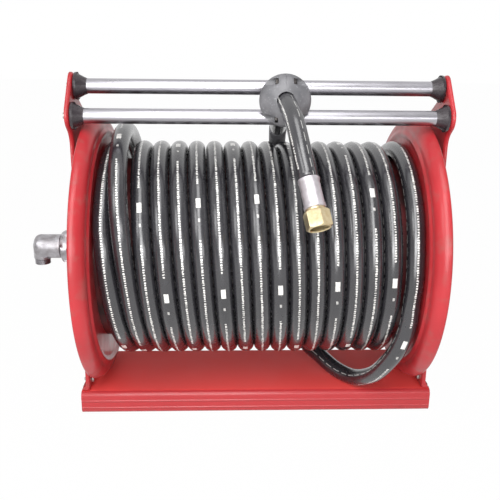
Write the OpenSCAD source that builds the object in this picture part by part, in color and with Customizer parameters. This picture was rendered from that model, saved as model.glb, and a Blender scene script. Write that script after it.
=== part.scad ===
// Spring-rewind fire hose reel on a folded base, with two guide rollers, a hose stop
// and a swivel inlet. Origin: middle of the base, on the floor. X runs along the drum,
// -Y is the side where the hose comes off, +Z is up.

/* [Base] */
// Length of the base channel
base_l = 764; // [760:2:800]
// Depth of the base channel, front to back
base_w = 220; // [216:2:260]
// Height of the base channel
base_h = 52; // [50:1:53]
// Thickness of the pressed sheet of base, pedestals and discs
sheet = 3; // [2:0.5:4]
// Outer radius of the base's folds
fold_r = 12; // [8:1:14]
// Width of the return flange under the base
return_w = 45; // [35:1:60]
// Spacing of the anchor holes along the base
anchor_x = 600; // [400:10:660]
// Spacing of the anchor holes across the base
anchor_y = 160; // [150:2:170]
// Radius of an anchor hole
anchor_r = 6.5; // [4.5:0.5:7]

/* [Pedestals] */
// Distance between the pedestals' inner faces
frame_gap = 726; // [724:1:728]
// How far the pedestals' edges turn outward
flange_d = 8; // [6:0.5:12]
// Gap between the base and the discs' rims
disc_gap = 13; // [11:1:15]

/* [Rollers] */
// Distance forward from the drum's axis to the lower roller
lower_y = 114; // [112:1:116]
// How far the upper roller lies behind the lower one
roller_back = 44; // [42:1:46]
// How far the upper roller lies above the lower one
roller_rise = 54; // [52:1:56]
// Radius of a roller tube
roller_r = 14.5; // [13:0.5:15]
// Half the length of a roller tube
roller_half = 338; // [335:1:340]
// Largest radius of a roller's end bush
bush_r = 26.5; // [22:0.5:27]
// Radius of the rods that the rollers turn on
rod_r = 6; // [5:0.5:7]

/* [Drum] */
// Outer radius of the drum core
core_r = 192; // [188:1:192]
// Outer radius of the discs
disc_r = 285; // [280:1:286]
// Radius of the discs' turned rim
rim_r = 25; // [20:1:26]
// Inner face of the left disc, from the middle
disc_left = 321; // [320:1:324]
// Inner face of the right disc, from the middle
disc_right = 313; // [312:1:316]
// Radius of the pressed ring in each disc
bead_ring_r = 248; // [240:1:252]
// Radius of the inlet shaft
shaft_r = 24; // [20:0.5:26]
// Radius of the water way
bore_r = 12.5; // [10:0.5:13]

/* [Hose] */
// Outer diameter of the hose
hose_d = 34.6; // [32:0.1:34.8]
// Distance between two turns
pitch = 36.35; // [36.3:0.05:36.5]
// Turns on the drum
turns = 15.25; // [10.25:1:15.25]
// Where the first turn passes the front
first_x = -293; // [-294:1:-292]
// How far the first turns swing from left to right
skew = 15; // [10:1:16]
// How much less each further turn swings
skew_drop = 1.1; // [0.8:0.1:1.2]

/* [Spring motor] */
// Outer radius of the spring case
case_r = 130; // [110:1:140]
// Turns of the flat power spring
spring_turns = 6; // [4:1:8]
// Thickness of the power spring
spring_t = 2; // [1:0.5:3]
// Teeth of the ratchet wheel
ratchet_teeth = 12; // [8:1:16]

/* [Hidden] */
$fn = 96;

// Clearances
run_gap = 0.05;      // shaft in a bush
seat_gap = 0.02;     // a piece pressed or bolted in place
drill_gap = 0.2;     // bolt in a drilled hole
cut = 1;             // overshoot of a cutting tool

// Frame
web_in = frame_gap / 2;
web_out = web_in + sheet;
flange_x = web_in + flange_d;
foot_x = base_l / 2 - 2;
foot_flare = 20;
axis_z = base_h + disc_gap + disc_r;
seat_r = 34;                 // hole in each pedestal for a bearing seat
foot_y = 99;                 // half the foot's straight bottom
foot_corner = 6;
foot_bolt_y = 82;
foot_bolt_z = base_h + 19;
foot_bolt_r = 4;
foot_bolt_over = 9;
bracket_t = 3;
bracket_y = 94;
bracket_h = 34;
base_bolt_y = 58;
base_bolt_x = (web_out + bracket_t + foot_x) / 2;
base_bolt_r = 2.5;
base_bolt_over = 8;
base_nut_h = 5;
base_nut_r = 4.6;

// Rollers
bush_gap = 0.102;            // between the end bushes and the discs' rims
rim_to_roller = bush_r + bush_gap;
lower_z = axis_z + sqrt(pow(disc_r + rim_to_roller, 2) - lower_y * lower_y);
upper_y = lower_y - roller_back;
upper_z = lower_z + roller_rise;
rod_over = 12;
rod_nut_h = 9;
tube_t = 1.5;
bush_plug = 18;

// Bearing seats
seat_flange_r = 62;
seat_flange_t = 10;
seat_bolt_ring = 51;
seat_bolt_r = 4;
seat_nut_h = 6.5;
seat_bolt_over = 8;
housing_boss_r = 42;
housing_l = 32;
housing_end = web_out + housing_l;
bush_wall_r = 32;

// Drum
core_t = 3;
bead_r = 3.5;                // rolled edge of a disc
emboss_r = 6;
emboss_proud = 4;
rib_count = 6;
rib_in = 165;
rib_out = 228;
rib_r = 7;
rib_proud = 4;
hub_r = 75;
hub_t = 8;
hub_boss_r = 36;
hub_bolt_ring = 60;
hub_bolt_r = 4;
hub_bolts = 6;
hub_nut_h = 6.5;
hub_bolt_over = 8;
disc_hole_r = 31;
riser_x = disc_left - 21;
riser_r = 16;
shaft_in = riser_x - 38;
seal_r = 1.25;

// Right side
arbor_r = 22;
arbor_stub_r = 14;
arbor_stub = web_out + seat_flange_t + 14;
right_hub_t = 6;
right_bush_r = 30;
right_bush_in = disc_right - 7;
right_boss_r = 40;
right_boss_end = disc_right + 23;
ratchet_t = 6;
ratchet_root_r = 68;
ratchet_tip_r = 78;
case_in = disc_right - 80;
arbor_in = case_in - 9;
case_wall = 3;
case_flange_r = 145;
spring_in_r = 25;
spring_in_x = case_in + 11;
spring_out_x = disc_right - 13;
pawl_y = -70;
pawl_dz = 80;
pawl_r = 9;
pawl_nose_y = -14;
pawl_bolt_r = 5;

// Inlet
swivel_nut_near = housing_end + 10;
swivel_nut_l = 18;
swivel_nut_r = 36;
elbow_r = 26.5;
elbow_near = swivel_nut_near + swivel_nut_l;
elbow_far = elbow_near + 60;
elbow_round = 14;
leg_r = 18.5;
leg_x = elbow_far - 14.5;
leg_z = axis_z - elbow_r - 0.5;
thread_r = 16.6;
thread_z = leg_z - 12;
shaft_end = elbow_near + 26;
seal_x = [elbow_near + 10, elbow_near + 18];

// Hose
lane_left = 19 - disc_left;  // the first turn lies against the left disc
wind_r = 212;                // centre line of a turn
tube_r = 18;                 // corner radius of a drawn turn
start_turn = -150 / 360;     // the hose leaves the drum's outlet behind the top
rings_per_turn = 24;
hump = 40;                   // the second turn climbs over the first
lane_right = disc_right - 18.6;  // the last, slack turn lies against the right disc
slack_r = 214;
ring_gap = 37;
tail_sides = 8;
straight = 36;
spigot_l = 42;
spigot_r = 18;
corner_swell = 1.5;
ferrule_r = 19.5;
ferrule_l = 55;
ferrule_at = [73, -285, 549];
ferrule_dir = [0.18, -0.52, -0.835];
collar_t = 4;
nut_l = 32;
nut_af = 41;
nut_thread_r = 16.6;
nut_thread_l = 18;
nut_relief_r = 17.4;
nipple_r = 12.3;
nipple_bore = 10;

// The slack loop in front, its way under the drum, the climb behind it and over the
// lower roller, down to the hose end. The slack turn before it is an arc.
slack_points = [[294, -208, 298], [291, -206, 246], [279, -195, 192], [262, -172, 145],
                [244, -136, 103], [216, -88, 73], [182, -46, 72], [150, -4, 87], [122, 40, 101],
                [100, 126, 131], [78, 219, 224], [64, 252, 350], [56, 219, 476], [50, 126, 569],
                [46, 66, 596], [42, -20, 633], [40, -92, 668.5], [41, -112, 674.5], [42, -131, 675.5],
                [43, -147, 674], [46, -176, 665], [53, -216, 643], [61, -250, 605]];

// Stop on the hose
stop_at = [43, -147, 673];
stop_r = 49;
stop_half = 18;
stop_dome = 62;
stop_bore = 17.6;
stop_bolt_r = 4;
stop_bolt_z = 33;
stop_seat = 14;
stop_bolt_l = 38;

// ---------- helpers ----------
// Local z along +X, at height z
module along_x(x = 0, y = 0, z = axis_z) translate([x, y, z]) rotate([0, 90, 0]) children();

// Round bar along X from xa to xb
module bar(xa, xb, r, y = 0, z = axis_z) along_x(min(xa, xb), y, z) cylinder(h = abs(xb - xa), r = r);

// Ring of bars round the drum's axis
module bar_ring(n, ring, xa, xb, r, turn = 0)
    for (i = [0:n - 1])
        let (a = turn + i * 360 / n)
            bar(xa, xb, r, ring * cos(a), axis_z + ring * sin(a));

// Hexagon bar along X
module hex_bar(xa, xb, af, y = 0, z = axis_z)
    along_x(min(xa, xb), y, z) cylinder(h = abs(xb - xa), r = af / 2 / cos(30), $fn = 6);

// Bolt along X: head outside xa, shank through to xb
module bolt_x(xa, xb, r, y, z) {
    out = sign(xa - xb);
    hex_bar(xa, xa + out * r * 1.4, r * 3.25, y, z);
    bar(xa, xb, r, y, z);
}

module nut_x(xa, xb, r, y, z)
    difference() {
        hex_bar(xa, xb, r * 3.25, y, z);
        bar(min(xa, xb) - cut, max(xa, xb) + cut, r + seat_gap, y, z);
    }

function unit(v) = v / norm(v);
function ease(a, b, t) = let (u = min(max((t - a) / (b - a), 0), 1)) u * u * (3 - 2 * u);

// Outline round a list of [y, z, radius]: straight lines between arcs, negative radii hollow
function arc_normal(p, q) =
    let (d = [q[0] - p[0], q[1] - p[1]], l = norm(d), c = (p[2] - q[2]) / l)
        atan2(d[1], d[0]) - acos(c);
function wrapped(a) = a - 360 * floor((a + 180) / 360);
function belt(list, inset = 0, step = 6) =
    [for (i = [0:len(list) - 1])
        let (n = len(list), p = list[(i + n - 1) % n], c = list[i], q = list[(i + 1) % n],
             a0 = arc_normal(p, c), da = wrapped(arc_normal(c, q) - a0),
             steps = max(1, ceil(abs(da) / step)))
        for (j = [0:steps])
            [c[0], c[1]] + (c[2] - inset) * [cos(a0 + da * j / steps), sin(a0 + da * j / steps)]];

// Tube along ring centres, one corner kept on the side that `up` points to
function tube_points(c, up, r, sides) =
    [for (i = [0:len(c) - 1])
        let (t = unit(c[min(i + 1, len(c) - 1)] - c[max(i - 1, 0)]),
             u = unit(up[i] - (up[i] * t) * t), v = cross(t, u))
        for (k = [0:sides - 1])
            c[i] + r * (cos(360 * k / sides) * u + sin(360 * k / sides) * v)];
function tube_faces(n, sides) =
    concat(
        [for (k = [1:sides - 2]) [0, k, k + 1]],
        [for (k = [1:sides - 2]) let (b = (n - 1) * sides) [b, b + k + 1, b + k]],
        [for (i = [0:n - 2]) for (k = [0:sides - 1])
            let (a = i * sides + k, b = i * sides + (k + 1) % sides)
                each [[a, a + sides, b], [b, a + sides, b + sides]]]);
module tube(c, up, r, sides) polyhedron(tube_points(c, up, r, sides), tube_faces(len(c), sides));

// Smooth curve through points
function spline(p, i, u) =
    let (n = len(p), a = p[max(i - 1, 0)], b = p[i], c = p[i + 1], d = p[min(i + 2, n - 1)])
        0.5 * (2 * b + (c - a) * u + (2 * a - 5 * b + 4 * c - d) * u * u
               + (3 * b - a - 3 * c + d) * u * u * u);
function spaced(p, gap) =
    [for (i = [0:len(p) - 2])
        let (n = max(1, round(norm(p[i + 1] - p[i]) / gap)))
        for (j = [0:n - 1]) spline(p, i, j / n)];

// ---------- frame ----------
module base_channel()
    color("firebrick")
    difference() {
        translate([-base_l / 2, 0, 0]) rotate([90, 0, 90]) linear_extrude(base_l)
            difference() {
                round_box(base_w, 0, base_h, fold_r);
                round_box(base_w - 2 * sheet, sheet, base_h - sheet, fold_r - sheet);
                translate([-(base_w / 2 - return_w), -cut]) square([base_w - 2 * return_w, base_h / 2]);
            }
        for (x = [-1, 1]) for (y = [-1, 1]) {
            translate([x * anchor_x / 2, y * anchor_y / 2, -cut]) cylinder(h = sheet + 2 * cut, r = anchor_r);
            translate([x * base_bolt_x, y * base_bolt_y, base_h - sheet - cut])
                cylinder(h = sheet + 2 * cut, r = base_bolt_r + drill_gap);
        }
    }

// Rectangle of width w from za to zb with round corners
module round_box(w, za, zb, r) {
    translate([-w / 2 + r, za]) square([w - 2 * r, zb - za]);
    translate([-w / 2, za + r]) square([w, zb - za - 2 * r]);
    for (y = [-1, 1]) for (z = [za + r, zb - r]) translate([y * (w / 2 - r), z]) circle(r);
}

// Corners of a pedestal, anticlockwise from the front of the foot
pedestal_belt = [[-foot_y, base_h + foot_corner, foot_corner],
                 [foot_y + 1, base_h + foot_corner, foot_corner],
                 [96 - upper_y, upper_z - 114, 48], [44 - upper_y, upper_z - 12, -16],
                 [-upper_y, upper_z, 26.5], [-lower_y, lower_z, 26], [-lower_y - 33, lower_z - 58, -40]];

// Pedestal with its edges turned outward, on the side s (-1 left, 1 right)
module pedestal(s) {
    color("firebrick")
    mirror([s < 0 ? 1 : 0, 0, 0])
    difference() {
        union() {
            translate([web_in, 0, 0]) rotate([90, 0, 90]) linear_extrude(sheet) polygon(belt(pedestal_belt));
            intersection() {
                translate([web_in, 0, 0]) rotate([90, 0, 90]) linear_extrude(foot_x - web_in)
                    difference() {
                        polygon(belt(pedestal_belt));
                        polygon(belt(pedestal_belt, sheet));
                    }
                translate([0, base_w, 0]) rotate([90, 0, 0]) linear_extrude(2 * base_w) flange_profile();
            }
        }
        bar(web_in - cut, web_out + cut, seat_r);
        bar_ring(4, seat_bolt_ring, web_in - cut, web_out + cut, seat_bolt_r + drill_gap, 45);
        bar(web_in - cut, web_out + cut, rod_r + drill_gap, -upper_y, upper_z);
        bar(web_in - cut, web_out + cut, rod_r + drill_gap, -lower_y, lower_z);
        for (y = [-1, 1]) {
            bar(web_in - cut, web_out + cut, foot_bolt_r + drill_gap, y * foot_bolt_y, foot_bolt_z);
            translate([base_bolt_x, y * base_bolt_y, base_h - cut])
                cylinder(h = sheet + 2 * cut, r = base_bolt_r + drill_gap);
        }
    }
}

// How far the edges reach outward at each height: a hollow curve out to the foot
module flange_profile() {
    difference() {
        square([foot_x, base_h + foot_flare]);
        translate([flange_x + foot_flare, base_h + foot_flare]) circle(foot_flare);
        translate([flange_x + foot_flare, base_h + sheet]) square([foot_x, foot_flare]);
    }
    translate([0, base_h + foot_flare - cut]) square([flange_x, upper_z]);
}

module left_pedestal() pedestal(-1);
module right_pedestal() pedestal(1);

// Angle outside each web, on the foot
module foot_brackets()
    color("firebrick")
    for (s = [0, 1]) mirror([s, 0, 0])
        difference() {
            union() {
                translate([web_out, -bracket_y, base_h + sheet]) cube([bracket_t, 2 * bracket_y, bracket_h - sheet]);
                translate([web_out, -bracket_y, base_h + sheet]) cube([foot_x - web_out, 2 * bracket_y, bracket_t]);
            }
            for (y = [-1, 1]) {
                bar(web_out - cut, web_out + bracket_t + cut, foot_bolt_r + drill_gap, y * foot_bolt_y, foot_bolt_z);
                translate([base_bolt_x, y * base_bolt_y, base_h])
                    cylinder(h = sheet + bracket_t + 2 * cut, r = base_bolt_r + drill_gap);
            }
        }

// Bolts through web and bracket, bolts through foot, bracket and base
module foot_bolts()
    color("silver")
    for (s = [0, 1]) mirror([s, 0, 0])
        for (y = [-1, 1]) {
            bolt_x(web_in, web_out + bracket_t + foot_bolt_over, foot_bolt_r, y * foot_bolt_y, foot_bolt_z);
            translate([base_bolt_x, y * base_bolt_y, 0]) {
                translate([0, 0, base_h + sheet + bracket_t])
                    rotate(30) cylinder(h = base_nut_h - 1, r = base_nut_r, $fn = 6);
                translate([0, 0, base_h - sheet - base_bolt_over])
                    cylinder(h = base_bolt_over + 2 * sheet + bracket_t, r = base_bolt_r);
            }
        }

module foot_nuts()
    color("silver")
    for (s = [0, 1]) mirror([s, 0, 0])
        for (y = [-1, 1]) {
            nut_x(web_out + bracket_t, web_out + bracket_t + seat_nut_h, foot_bolt_r, y * foot_bolt_y, foot_bolt_z);
            translate([base_bolt_x, y * base_bolt_y, base_h - sheet - base_nut_h])
                difference() {
                    rotate(30) cylinder(h = base_nut_h, r = base_nut_r, $fn = 6);
                    translate([0, 0, -cut]) cylinder(h = base_nut_h + 2 * cut, r = base_bolt_r + seat_gap);
                }
        }

// ---------- left bearing ----------
module left_bearing_housing()
    color("firebrick")
    difference() {
        union() {
            bar(-web_out, -web_out - seat_flange_t, seat_flange_r);
            bar(-web_out, -housing_end, housing_boss_r);
            bar(-web_in, -web_out, seat_r - seat_gap);
        }
        bar(-web_in + cut, -housing_end - cut, bush_wall_r);
        bar_ring(4, seat_bolt_ring, -web_out + cut, -web_out - seat_flange_t - cut, seat_bolt_r + drill_gap, 45);
    }

module left_bearing_bush()
    color("goldenrod")
    difference() {
        bar(-web_in, -housing_end, bush_wall_r - seat_gap);
        bar(-web_in + cut, -housing_end - cut, shaft_r + run_gap);
    }

// Four bolts round the axis, heads on the outer side of a flange
module seat_bolts(s)
    for (i = [0:3])
        let (a = 45 + 90 * i, out = s * (web_out + seat_flange_t))
            bolt_x(out, s * (web_in - seat_bolt_over), seat_bolt_r, seat_bolt_ring * cos(a), axis_z + seat_bolt_ring * sin(a));

module seat_nuts(s)
    for (i = [0:3])
        let (a = 45 + 90 * i)
            nut_x(s * web_in, s * (web_in - seat_nut_h), seat_bolt_r, seat_bolt_ring * cos(a), axis_z + seat_bolt_ring * sin(a));

module housing_bolts() color("silver") seat_bolts(-1);
module housing_nuts() color("silver") seat_nuts(-1);

// ---------- right arbor: fixed axle that the drum turns on and the spring pulls from ----------
module right_arbor()
    color("dimgray")
    difference() {
        union() {
            bar(arbor_in, web_out, arbor_r);
            bar(web_in, web_out, seat_r - seat_gap);
            bar(web_out, web_out + seat_flange_t, seat_flange_r);
            bar(web_out + seat_flange_t, arbor_stub, arbor_stub_r);
        }
        bar_ring(4, seat_bolt_ring, web_out - cut, web_out + seat_flange_t + cut, seat_bolt_r + drill_gap, 45);
    }

module arbor_bolts() color("silver") seat_bolts(1);
module arbor_nuts() color("silver") seat_nuts(1);

module right_bearing_bush()
    color("goldenrod")
    difference() {
        bar(right_bush_in, right_boss_end, right_bush_r - seat_gap);
        bar(right_bush_in - cut, right_boss_end + cut, arbor_r + run_gap);
    }

// ---------- rollers ----------
module roller_rod(y, z) bar(-web_out - rod_over, web_out + rod_over, rod_r, y, z);
module upper_roller_rod() color("silver") roller_rod(-upper_y, upper_z);
module lower_roller_rod() color("silver") roller_rod(-lower_y, lower_z);

module roller_rod_nuts()
    color("silver")
    for (s = [-1, 1]) for (p = [[-upper_y, upper_z], [-lower_y, lower_z]])
        nut_x(s * web_out, s * (web_out + rod_nut_h), rod_r, p[0], p[1]);

module roller_tube(y, z)
    difference() {
        bar(-roller_half, roller_half, roller_r, y, z);
        bar(-roller_half - cut, roller_half + cut, roller_r - tube_t, y, z);
    }
module upper_roller_tube() color("lightgray") roller_tube(-upper_y, upper_z);
module lower_roller_tube() color("lightgray") roller_tube(-lower_y, lower_z);

// Conical bush: plug in the tube, cone outside it, rounded rim close to the pedestal
bush_l = web_in - 0.7 - roller_half;
module roller_bushes(y, z)
    for (s = [0, 1]) mirror([s, 0, 0])
        along_x(roller_half, y, z) rotate_extrude()
            difference() {
                union() {
                    translate([0, -bush_plug]) square([roller_r - tube_t - seat_gap, bush_plug + 2]);
                    polygon([[0, 0], [roller_r + 0.4, 0], [bush_r - 1.5, bush_l - 7], [bush_r, bush_l - 4.5],
                             [bush_r, bush_l - 2.5], [bush_r - 2.5, bush_l], [0, bush_l]]);
                }
                translate([-cut, -bush_plug - cut]) square([rod_r + run_gap + cut, bush_plug + bush_l + 2 * cut]);
            }
module upper_roller_bushes() color("#2b2b2e") roller_bushes(-upper_y, upper_z);
module lower_roller_bushes() color("#2b2b2e") roller_bushes(-lower_y, lower_z);

// ---------- drum ----------
// Point on the way of the first turn's outlet, in the drum's plane, at an angle above the front
function on_drum(r, a) = [-r * cos(a), axis_z + r * sin(a)];
start_angle = -360 * start_turn;
riser_angle = start_angle + atan((straight / 2 + spigot_l) / wind_r);
riser_reach = norm([straight / 2 + spigot_l, wind_r]);

// Local z out from the drum's axis along the riser pipe
module along_riser() translate([-riser_x, 0, axis_z]) rotate([90 - riser_angle, 0, 0]) children();

module drum_core()
    color("firebrick")
    difference() {
        bar(-disc_left, disc_right, core_r);
        bar(-disc_left - cut, disc_right + cut, core_r - core_t);
        along_riser() translate([0, 0, core_r / 2]) cylinder(h = core_r, r = riser_r + 2);
    }

// Pressed disc, axial coordinate 0 at its inner face, material on the minus side
module disc_profile() {
    translate([disc_hole_r, -sheet]) square([disc_r - rim_r - disc_hole_r, sheet]);
    intersection() {
        difference() {
            translate([disc_r - rim_r, -rim_r]) circle(rim_r);
            translate([disc_r - rim_r, -rim_r]) circle(rim_r - sheet);
        }
        translate([disc_r - rim_r, -rim_r]) square(rim_r + cut);
    }
    translate([disc_r - bead_r, -rim_r]) circle(bead_r);
    translate([bead_ring_r, emboss_proud - emboss_r]) circle(emboss_r);
}

module disc(x, s)
    difference() {
        union() {
            along_x(x) mirror([0, 0, s > 0 ? 1 : 0]) rotate_extrude() disc_profile();
            for (i = [0:rib_count - 1]) let (a = 30 + i * 360 / rib_count)
                translate([x + s * sheet, 0, axis_z]) rotate([a, 0, 0]) {
                    translate([min(0, s * rib_proud), rib_in, -rib_r]) cube([rib_proud, rib_out - rib_in, 2 * rib_r]);
                    for (r = [rib_in, rib_out]) bar(0, s * rib_proud, rib_r, r, 0);
                }
        }
        bar_ring(hub_bolts, hub_bolt_ring, x - 2 * sheet, x + 2 * sheet, hub_bolt_r + drill_gap);
    }
module left_disc() color("red") disc(-disc_left, -1);
module right_disc() color("red") disc(disc_right, 1);

module left_hub()
    color("dimgray")
    difference() {
        union() {
            bar(-disc_left - sheet, -disc_left - sheet - hub_t, hub_r);
            bar(-disc_left - sheet, -web_in + 9, hub_boss_r);
            bar(-disc_left + 4, -disc_left - sheet, disc_hole_r - seat_gap);
        }
        bar(-disc_left + 5, -web_in + 8, shaft_r + seat_gap);
        bar_ring(hub_bolts, hub_bolt_ring, -disc_left, -disc_left - sheet - hub_t - cut, hub_bolt_r + drill_gap);
    }

module right_hub()
    color("dimgray")
    difference() {
        union() {
            bar(disc_right + sheet, disc_right + sheet + right_hub_t, hub_r);
            bar(disc_right + sheet, right_boss_end, right_boss_r);
            bar(right_bush_in, disc_right + sheet, disc_hole_r - seat_gap);
        }
        bar(right_bush_in - cut, right_boss_end + cut, right_bush_r);
        bar_ring(hub_bolts, hub_bolt_ring, disc_right, disc_right + sheet + right_hub_t + cut, hub_bolt_r + drill_gap);
    }

// Bolts from the outer side of a hub into nuts inside the core
module hub_bolt_set(s, head, inner)
    for (i = [0:hub_bolts - 1])
        let (a = i * 360 / hub_bolts, y = hub_bolt_ring * cos(a), z = axis_z + hub_bolt_ring * sin(a)) {
            bolt_x(s * head, s * (inner - hub_bolt_over), hub_bolt_r, y, z);
            hex_bar(s * inner, s * (inner - hub_nut_h), hub_bolt_r * 3.25, y, z);
        }
module left_hub_bolts() color("silver") hub_bolt_set(-1, disc_left + sheet + hub_t, disc_left);
module right_hub_bolts() color("silver") hub_bolt_set(1, disc_right + sheet + right_hub_t + ratchet_t, disc_right);

module inlet_shaft()
    color("silver")
    difference() {
        bar(-shaft_end, -shaft_in, shaft_r);
        bar(-shaft_end - cut, -shaft_in - bore_r, bore_r);
        along_riser() cylinder(h = shaft_r + cut, r = bore_r);
        for (x = seal_x) along_x(-x) rotate_extrude()
            translate([shaft_r - 2 * seal_r, -1.7 * seal_r]) square([2 * seal_r + cut, 3.4 * seal_r]);
    }

module swivel_seals()
    color("#202020")
    for (x = seal_x) along_x(-x) rotate_extrude() translate([shaft_r - seal_r - 0.05, 0]) circle(seal_r - 0.05);

module riser_pipe()
    color("gray")
    difference() {
        along_riser() cylinder(h = riser_reach - spigot_r, r = riser_r);
        along_riser() translate([0, 0, -cut]) cylinder(h = riser_reach + cut, r = bore_r);
        bar(-shaft_end, -shaft_in, shaft_r + seat_gap);
        outlet_outside();
    }

// Round corner and straight spigot that the hose's first turn butts against
module along_spigot()
    let (p = on_drum(riser_reach, riser_angle))
        translate([-riser_x, p[0], p[1]]) rotate([180 - start_angle, 0, 0]) children();
module outlet_outside() {
    along_spigot() sphere(spigot_r + corner_swell);
    along_spigot() cylinder(h = spigot_l, r = spigot_r);
}
module outlet_elbow()
    color("gray")
    difference() {
        outlet_outside();
        along_spigot() sphere(bore_r + corner_swell);
        along_spigot() cylinder(h = spigot_l + cut, r = bore_r);
        along_riser() translate([0, 0, core_r / 2]) cylinder(h = riser_reach - core_r / 2, r = bore_r);
    }

// ---------- spring motor ----------
module spring_case()
    color("dimgray")
    difference() {
        union() {
            bar(case_in + case_wall, disc_right, case_r);
            bar(disc_right - case_wall, disc_right, case_flange_r);
        }
        bar(case_in, disc_right + cut, case_r - case_wall);
    }

module spring_case_cover()
    color("dimgray")
    difference() {
        bar(case_in, case_in + case_wall, case_r);
        bar(case_in - cut, case_in + case_wall + cut, arbor_r + run_gap);
    }

// Flat spiral from near the arbor out to the wall of the case
spring_out_r = case_r - case_wall - spring_t - 0.2;
function spiral_r(a) = spring_in_r + (spring_out_r - spring_in_r) * a / (360 * spring_turns);
module power_spring()
    color("slategray")
    along_x(spring_in_x) linear_extrude(spring_out_x - spring_in_x)
        let (angles = [0:15:360 * spring_turns])
            polygon(concat([for (a = angles) spiral_r(a) * [cos(a), sin(a)]],
                           [for (a = [360 * spring_turns:-15:0]) (spiral_r(a) + spring_t) * [cos(a), sin(a)]]));

module ratchet_wheel()
    color("silver")
    difference() {
        along_x(disc_right + sheet + right_hub_t) linear_extrude(ratchet_t)
            polygon([for (i = [0:ratchet_teeth - 1])
                let (a = i * 360 / ratchet_teeth, w = 360 / ratchet_teeth)
                    each [ratchet_root_r * [cos(a), sin(a)], ratchet_tip_r * [cos(a + w * 0.75), sin(a + w * 0.75)],
                          ratchet_tip_r * [cos(a + w * 0.9), sin(a + w * 0.9)],
                          ratchet_root_r * [cos(a + w * 0.98), sin(a + w * 0.98)]]]);
        bar(disc_right, right_boss_end, right_boss_r + seat_gap);
        bar_ring(hub_bolts, hub_bolt_ring, disc_right, right_boss_end, hub_bolt_r + drill_gap);
    }

// Pawl resting just clear of the teeth's tips, nose towards the rear
pawl_x = disc_right + sheet + right_hub_t;
pawl_z = axis_z + pawl_dz;
module ratchet_pawl()
    color("silver")
    difference() {
        translate([pawl_x, 0, 0]) rotate([90, 0, 90]) linear_extrude(ratchet_t) {
            translate([pawl_y, pawl_z]) circle(pawl_r);
            polygon([[pawl_y, pawl_z - pawl_r], [pawl_nose_y, pawl_z - 2.5], [pawl_nose_y, pawl_z + 2],
                     [pawl_nose_y - 10, pawl_z + 7], [pawl_y, pawl_z + pawl_r]]);
        }
        bar(pawl_x - cut, pawl_x + ratchet_t + cut, pawl_bolt_r + run_gap, pawl_y, pawl_z);
    }

module pawl_pivot()
    color("silver") {
        bar(pawl_x - 3, web_in, pawl_bolt_r, pawl_y, pawl_z);
        bar(pawl_x - 0.2, pawl_x - 3, pawl_bolt_r + 3, pawl_y, pawl_z);
        bar(web_in - 8, web_in, pawl_bolt_r + 5, pawl_y, pawl_z);
    }

// Torsion spring round the pivot
spring_coils = 4;
pawl_coil_r = pawl_bolt_r + 1;
module pawl_spring()
    color("slategray")
    let (n = spring_coils * 10,
         c = [for (i = [0:n]) let (a = i * 36)
                 [pawl_x + ratchet_t + 1 + i * 0.38, pawl_y + pawl_coil_r * cos(a), pawl_z + pawl_coil_r * sin(a)]],
         up = [for (i = [0:n]) [0, cos(i * 36), sin(i * 36)]])
        tube(c, up, 0.8, 6);

// ---------- swivel inlet ----------
module inlet_elbow()
    color("silver")
    difference() {
        union() {
            along_x(-elbow_far) rotate_extrude() {
                translate([0, elbow_round]) square([elbow_r, elbow_far - elbow_near - elbow_round]);
                square([elbow_r - elbow_round, elbow_round + cut]);
                intersection() {
                    translate([elbow_r - elbow_round, elbow_round]) circle(elbow_round);
                    square([elbow_r, elbow_round + seat_gap]);
                }
            }
            translate([-leg_x, 0, leg_z]) cylinder(h = axis_z - leg_z, r = leg_r);
            translate([-leg_x, 0, thread_z]) cylinder(h = axis_z - thread_z, r = thread_r);
        }
        bar(-elbow_near + cut, -shaft_end - 4, shaft_r + run_gap);
        bar(-elbow_near, -leg_x, bore_r);
        translate([-leg_x, 0, axis_z]) sphere(bore_r);
        translate([-leg_x, 0, thread_z - cut]) cylinder(h = axis_z - thread_z + cut, r = bore_r);
    }

module swivel_nut()
    color("silver")
    difference() {
        along_x(-elbow_near) cylinder(h = elbow_near - swivel_nut_near, r = swivel_nut_r, $fn = 6);
        bar(-elbow_near - cut, -swivel_nut_near + cut, shaft_r + 0.3);
    }

// ---------- hose ----------
function wind_x(t) =
    max(lane_left, first_x + pitch * t + (skew - skew_drop * t) * sin(360 * t));
function climb(t) = hump * ease(0.38, 0.50, t) * (1 - ease(0.84, 1.03, t));
function wind_at(t) = let (p = on_drum(wind_r + climb(t), -360 * t)) [wind_x(t), p[0], p[1]];
function out_at(c) = [0, c[1], c[2] - axis_z];

// A turn's first and last stretch run straight, square to their ends
function lead(t, s) =
    let (p = wind_at(t), d = [0, -sin(-360 * t), -cos(-360 * t)]) p + s * straight / 2 * d;
wind_count = round((turns - start_turn) * rings_per_turn);
wind_centres = concat(
    [lead(start_turn, -1), lead(start_turn, 1)],
    [for (i = [1:wind_count - 1]) wind_at(start_turn + i * (turns - start_turn) / wind_count)],
    [lead(turns, -1), lead(turns, 1)]);

module hose_winding()
    color("#26272a")
    tube(wind_centres, [for (c = wind_centres) out_at(c)], tube_r, 6);

// Least gap between turns: points a turn apart or nearly so, less two corner radii across the flats
wind_least = min([for (i = [0:len(wind_centres) - 1])
    for (j = [i + 18:min(i + 30, len(wind_centres) - 1)]) if (j < len(wind_centres))
        norm(wind_centres[i] - wind_centres[j])]) - hose_d;
echo(least_gap_in_winding = wind_least);

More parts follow.
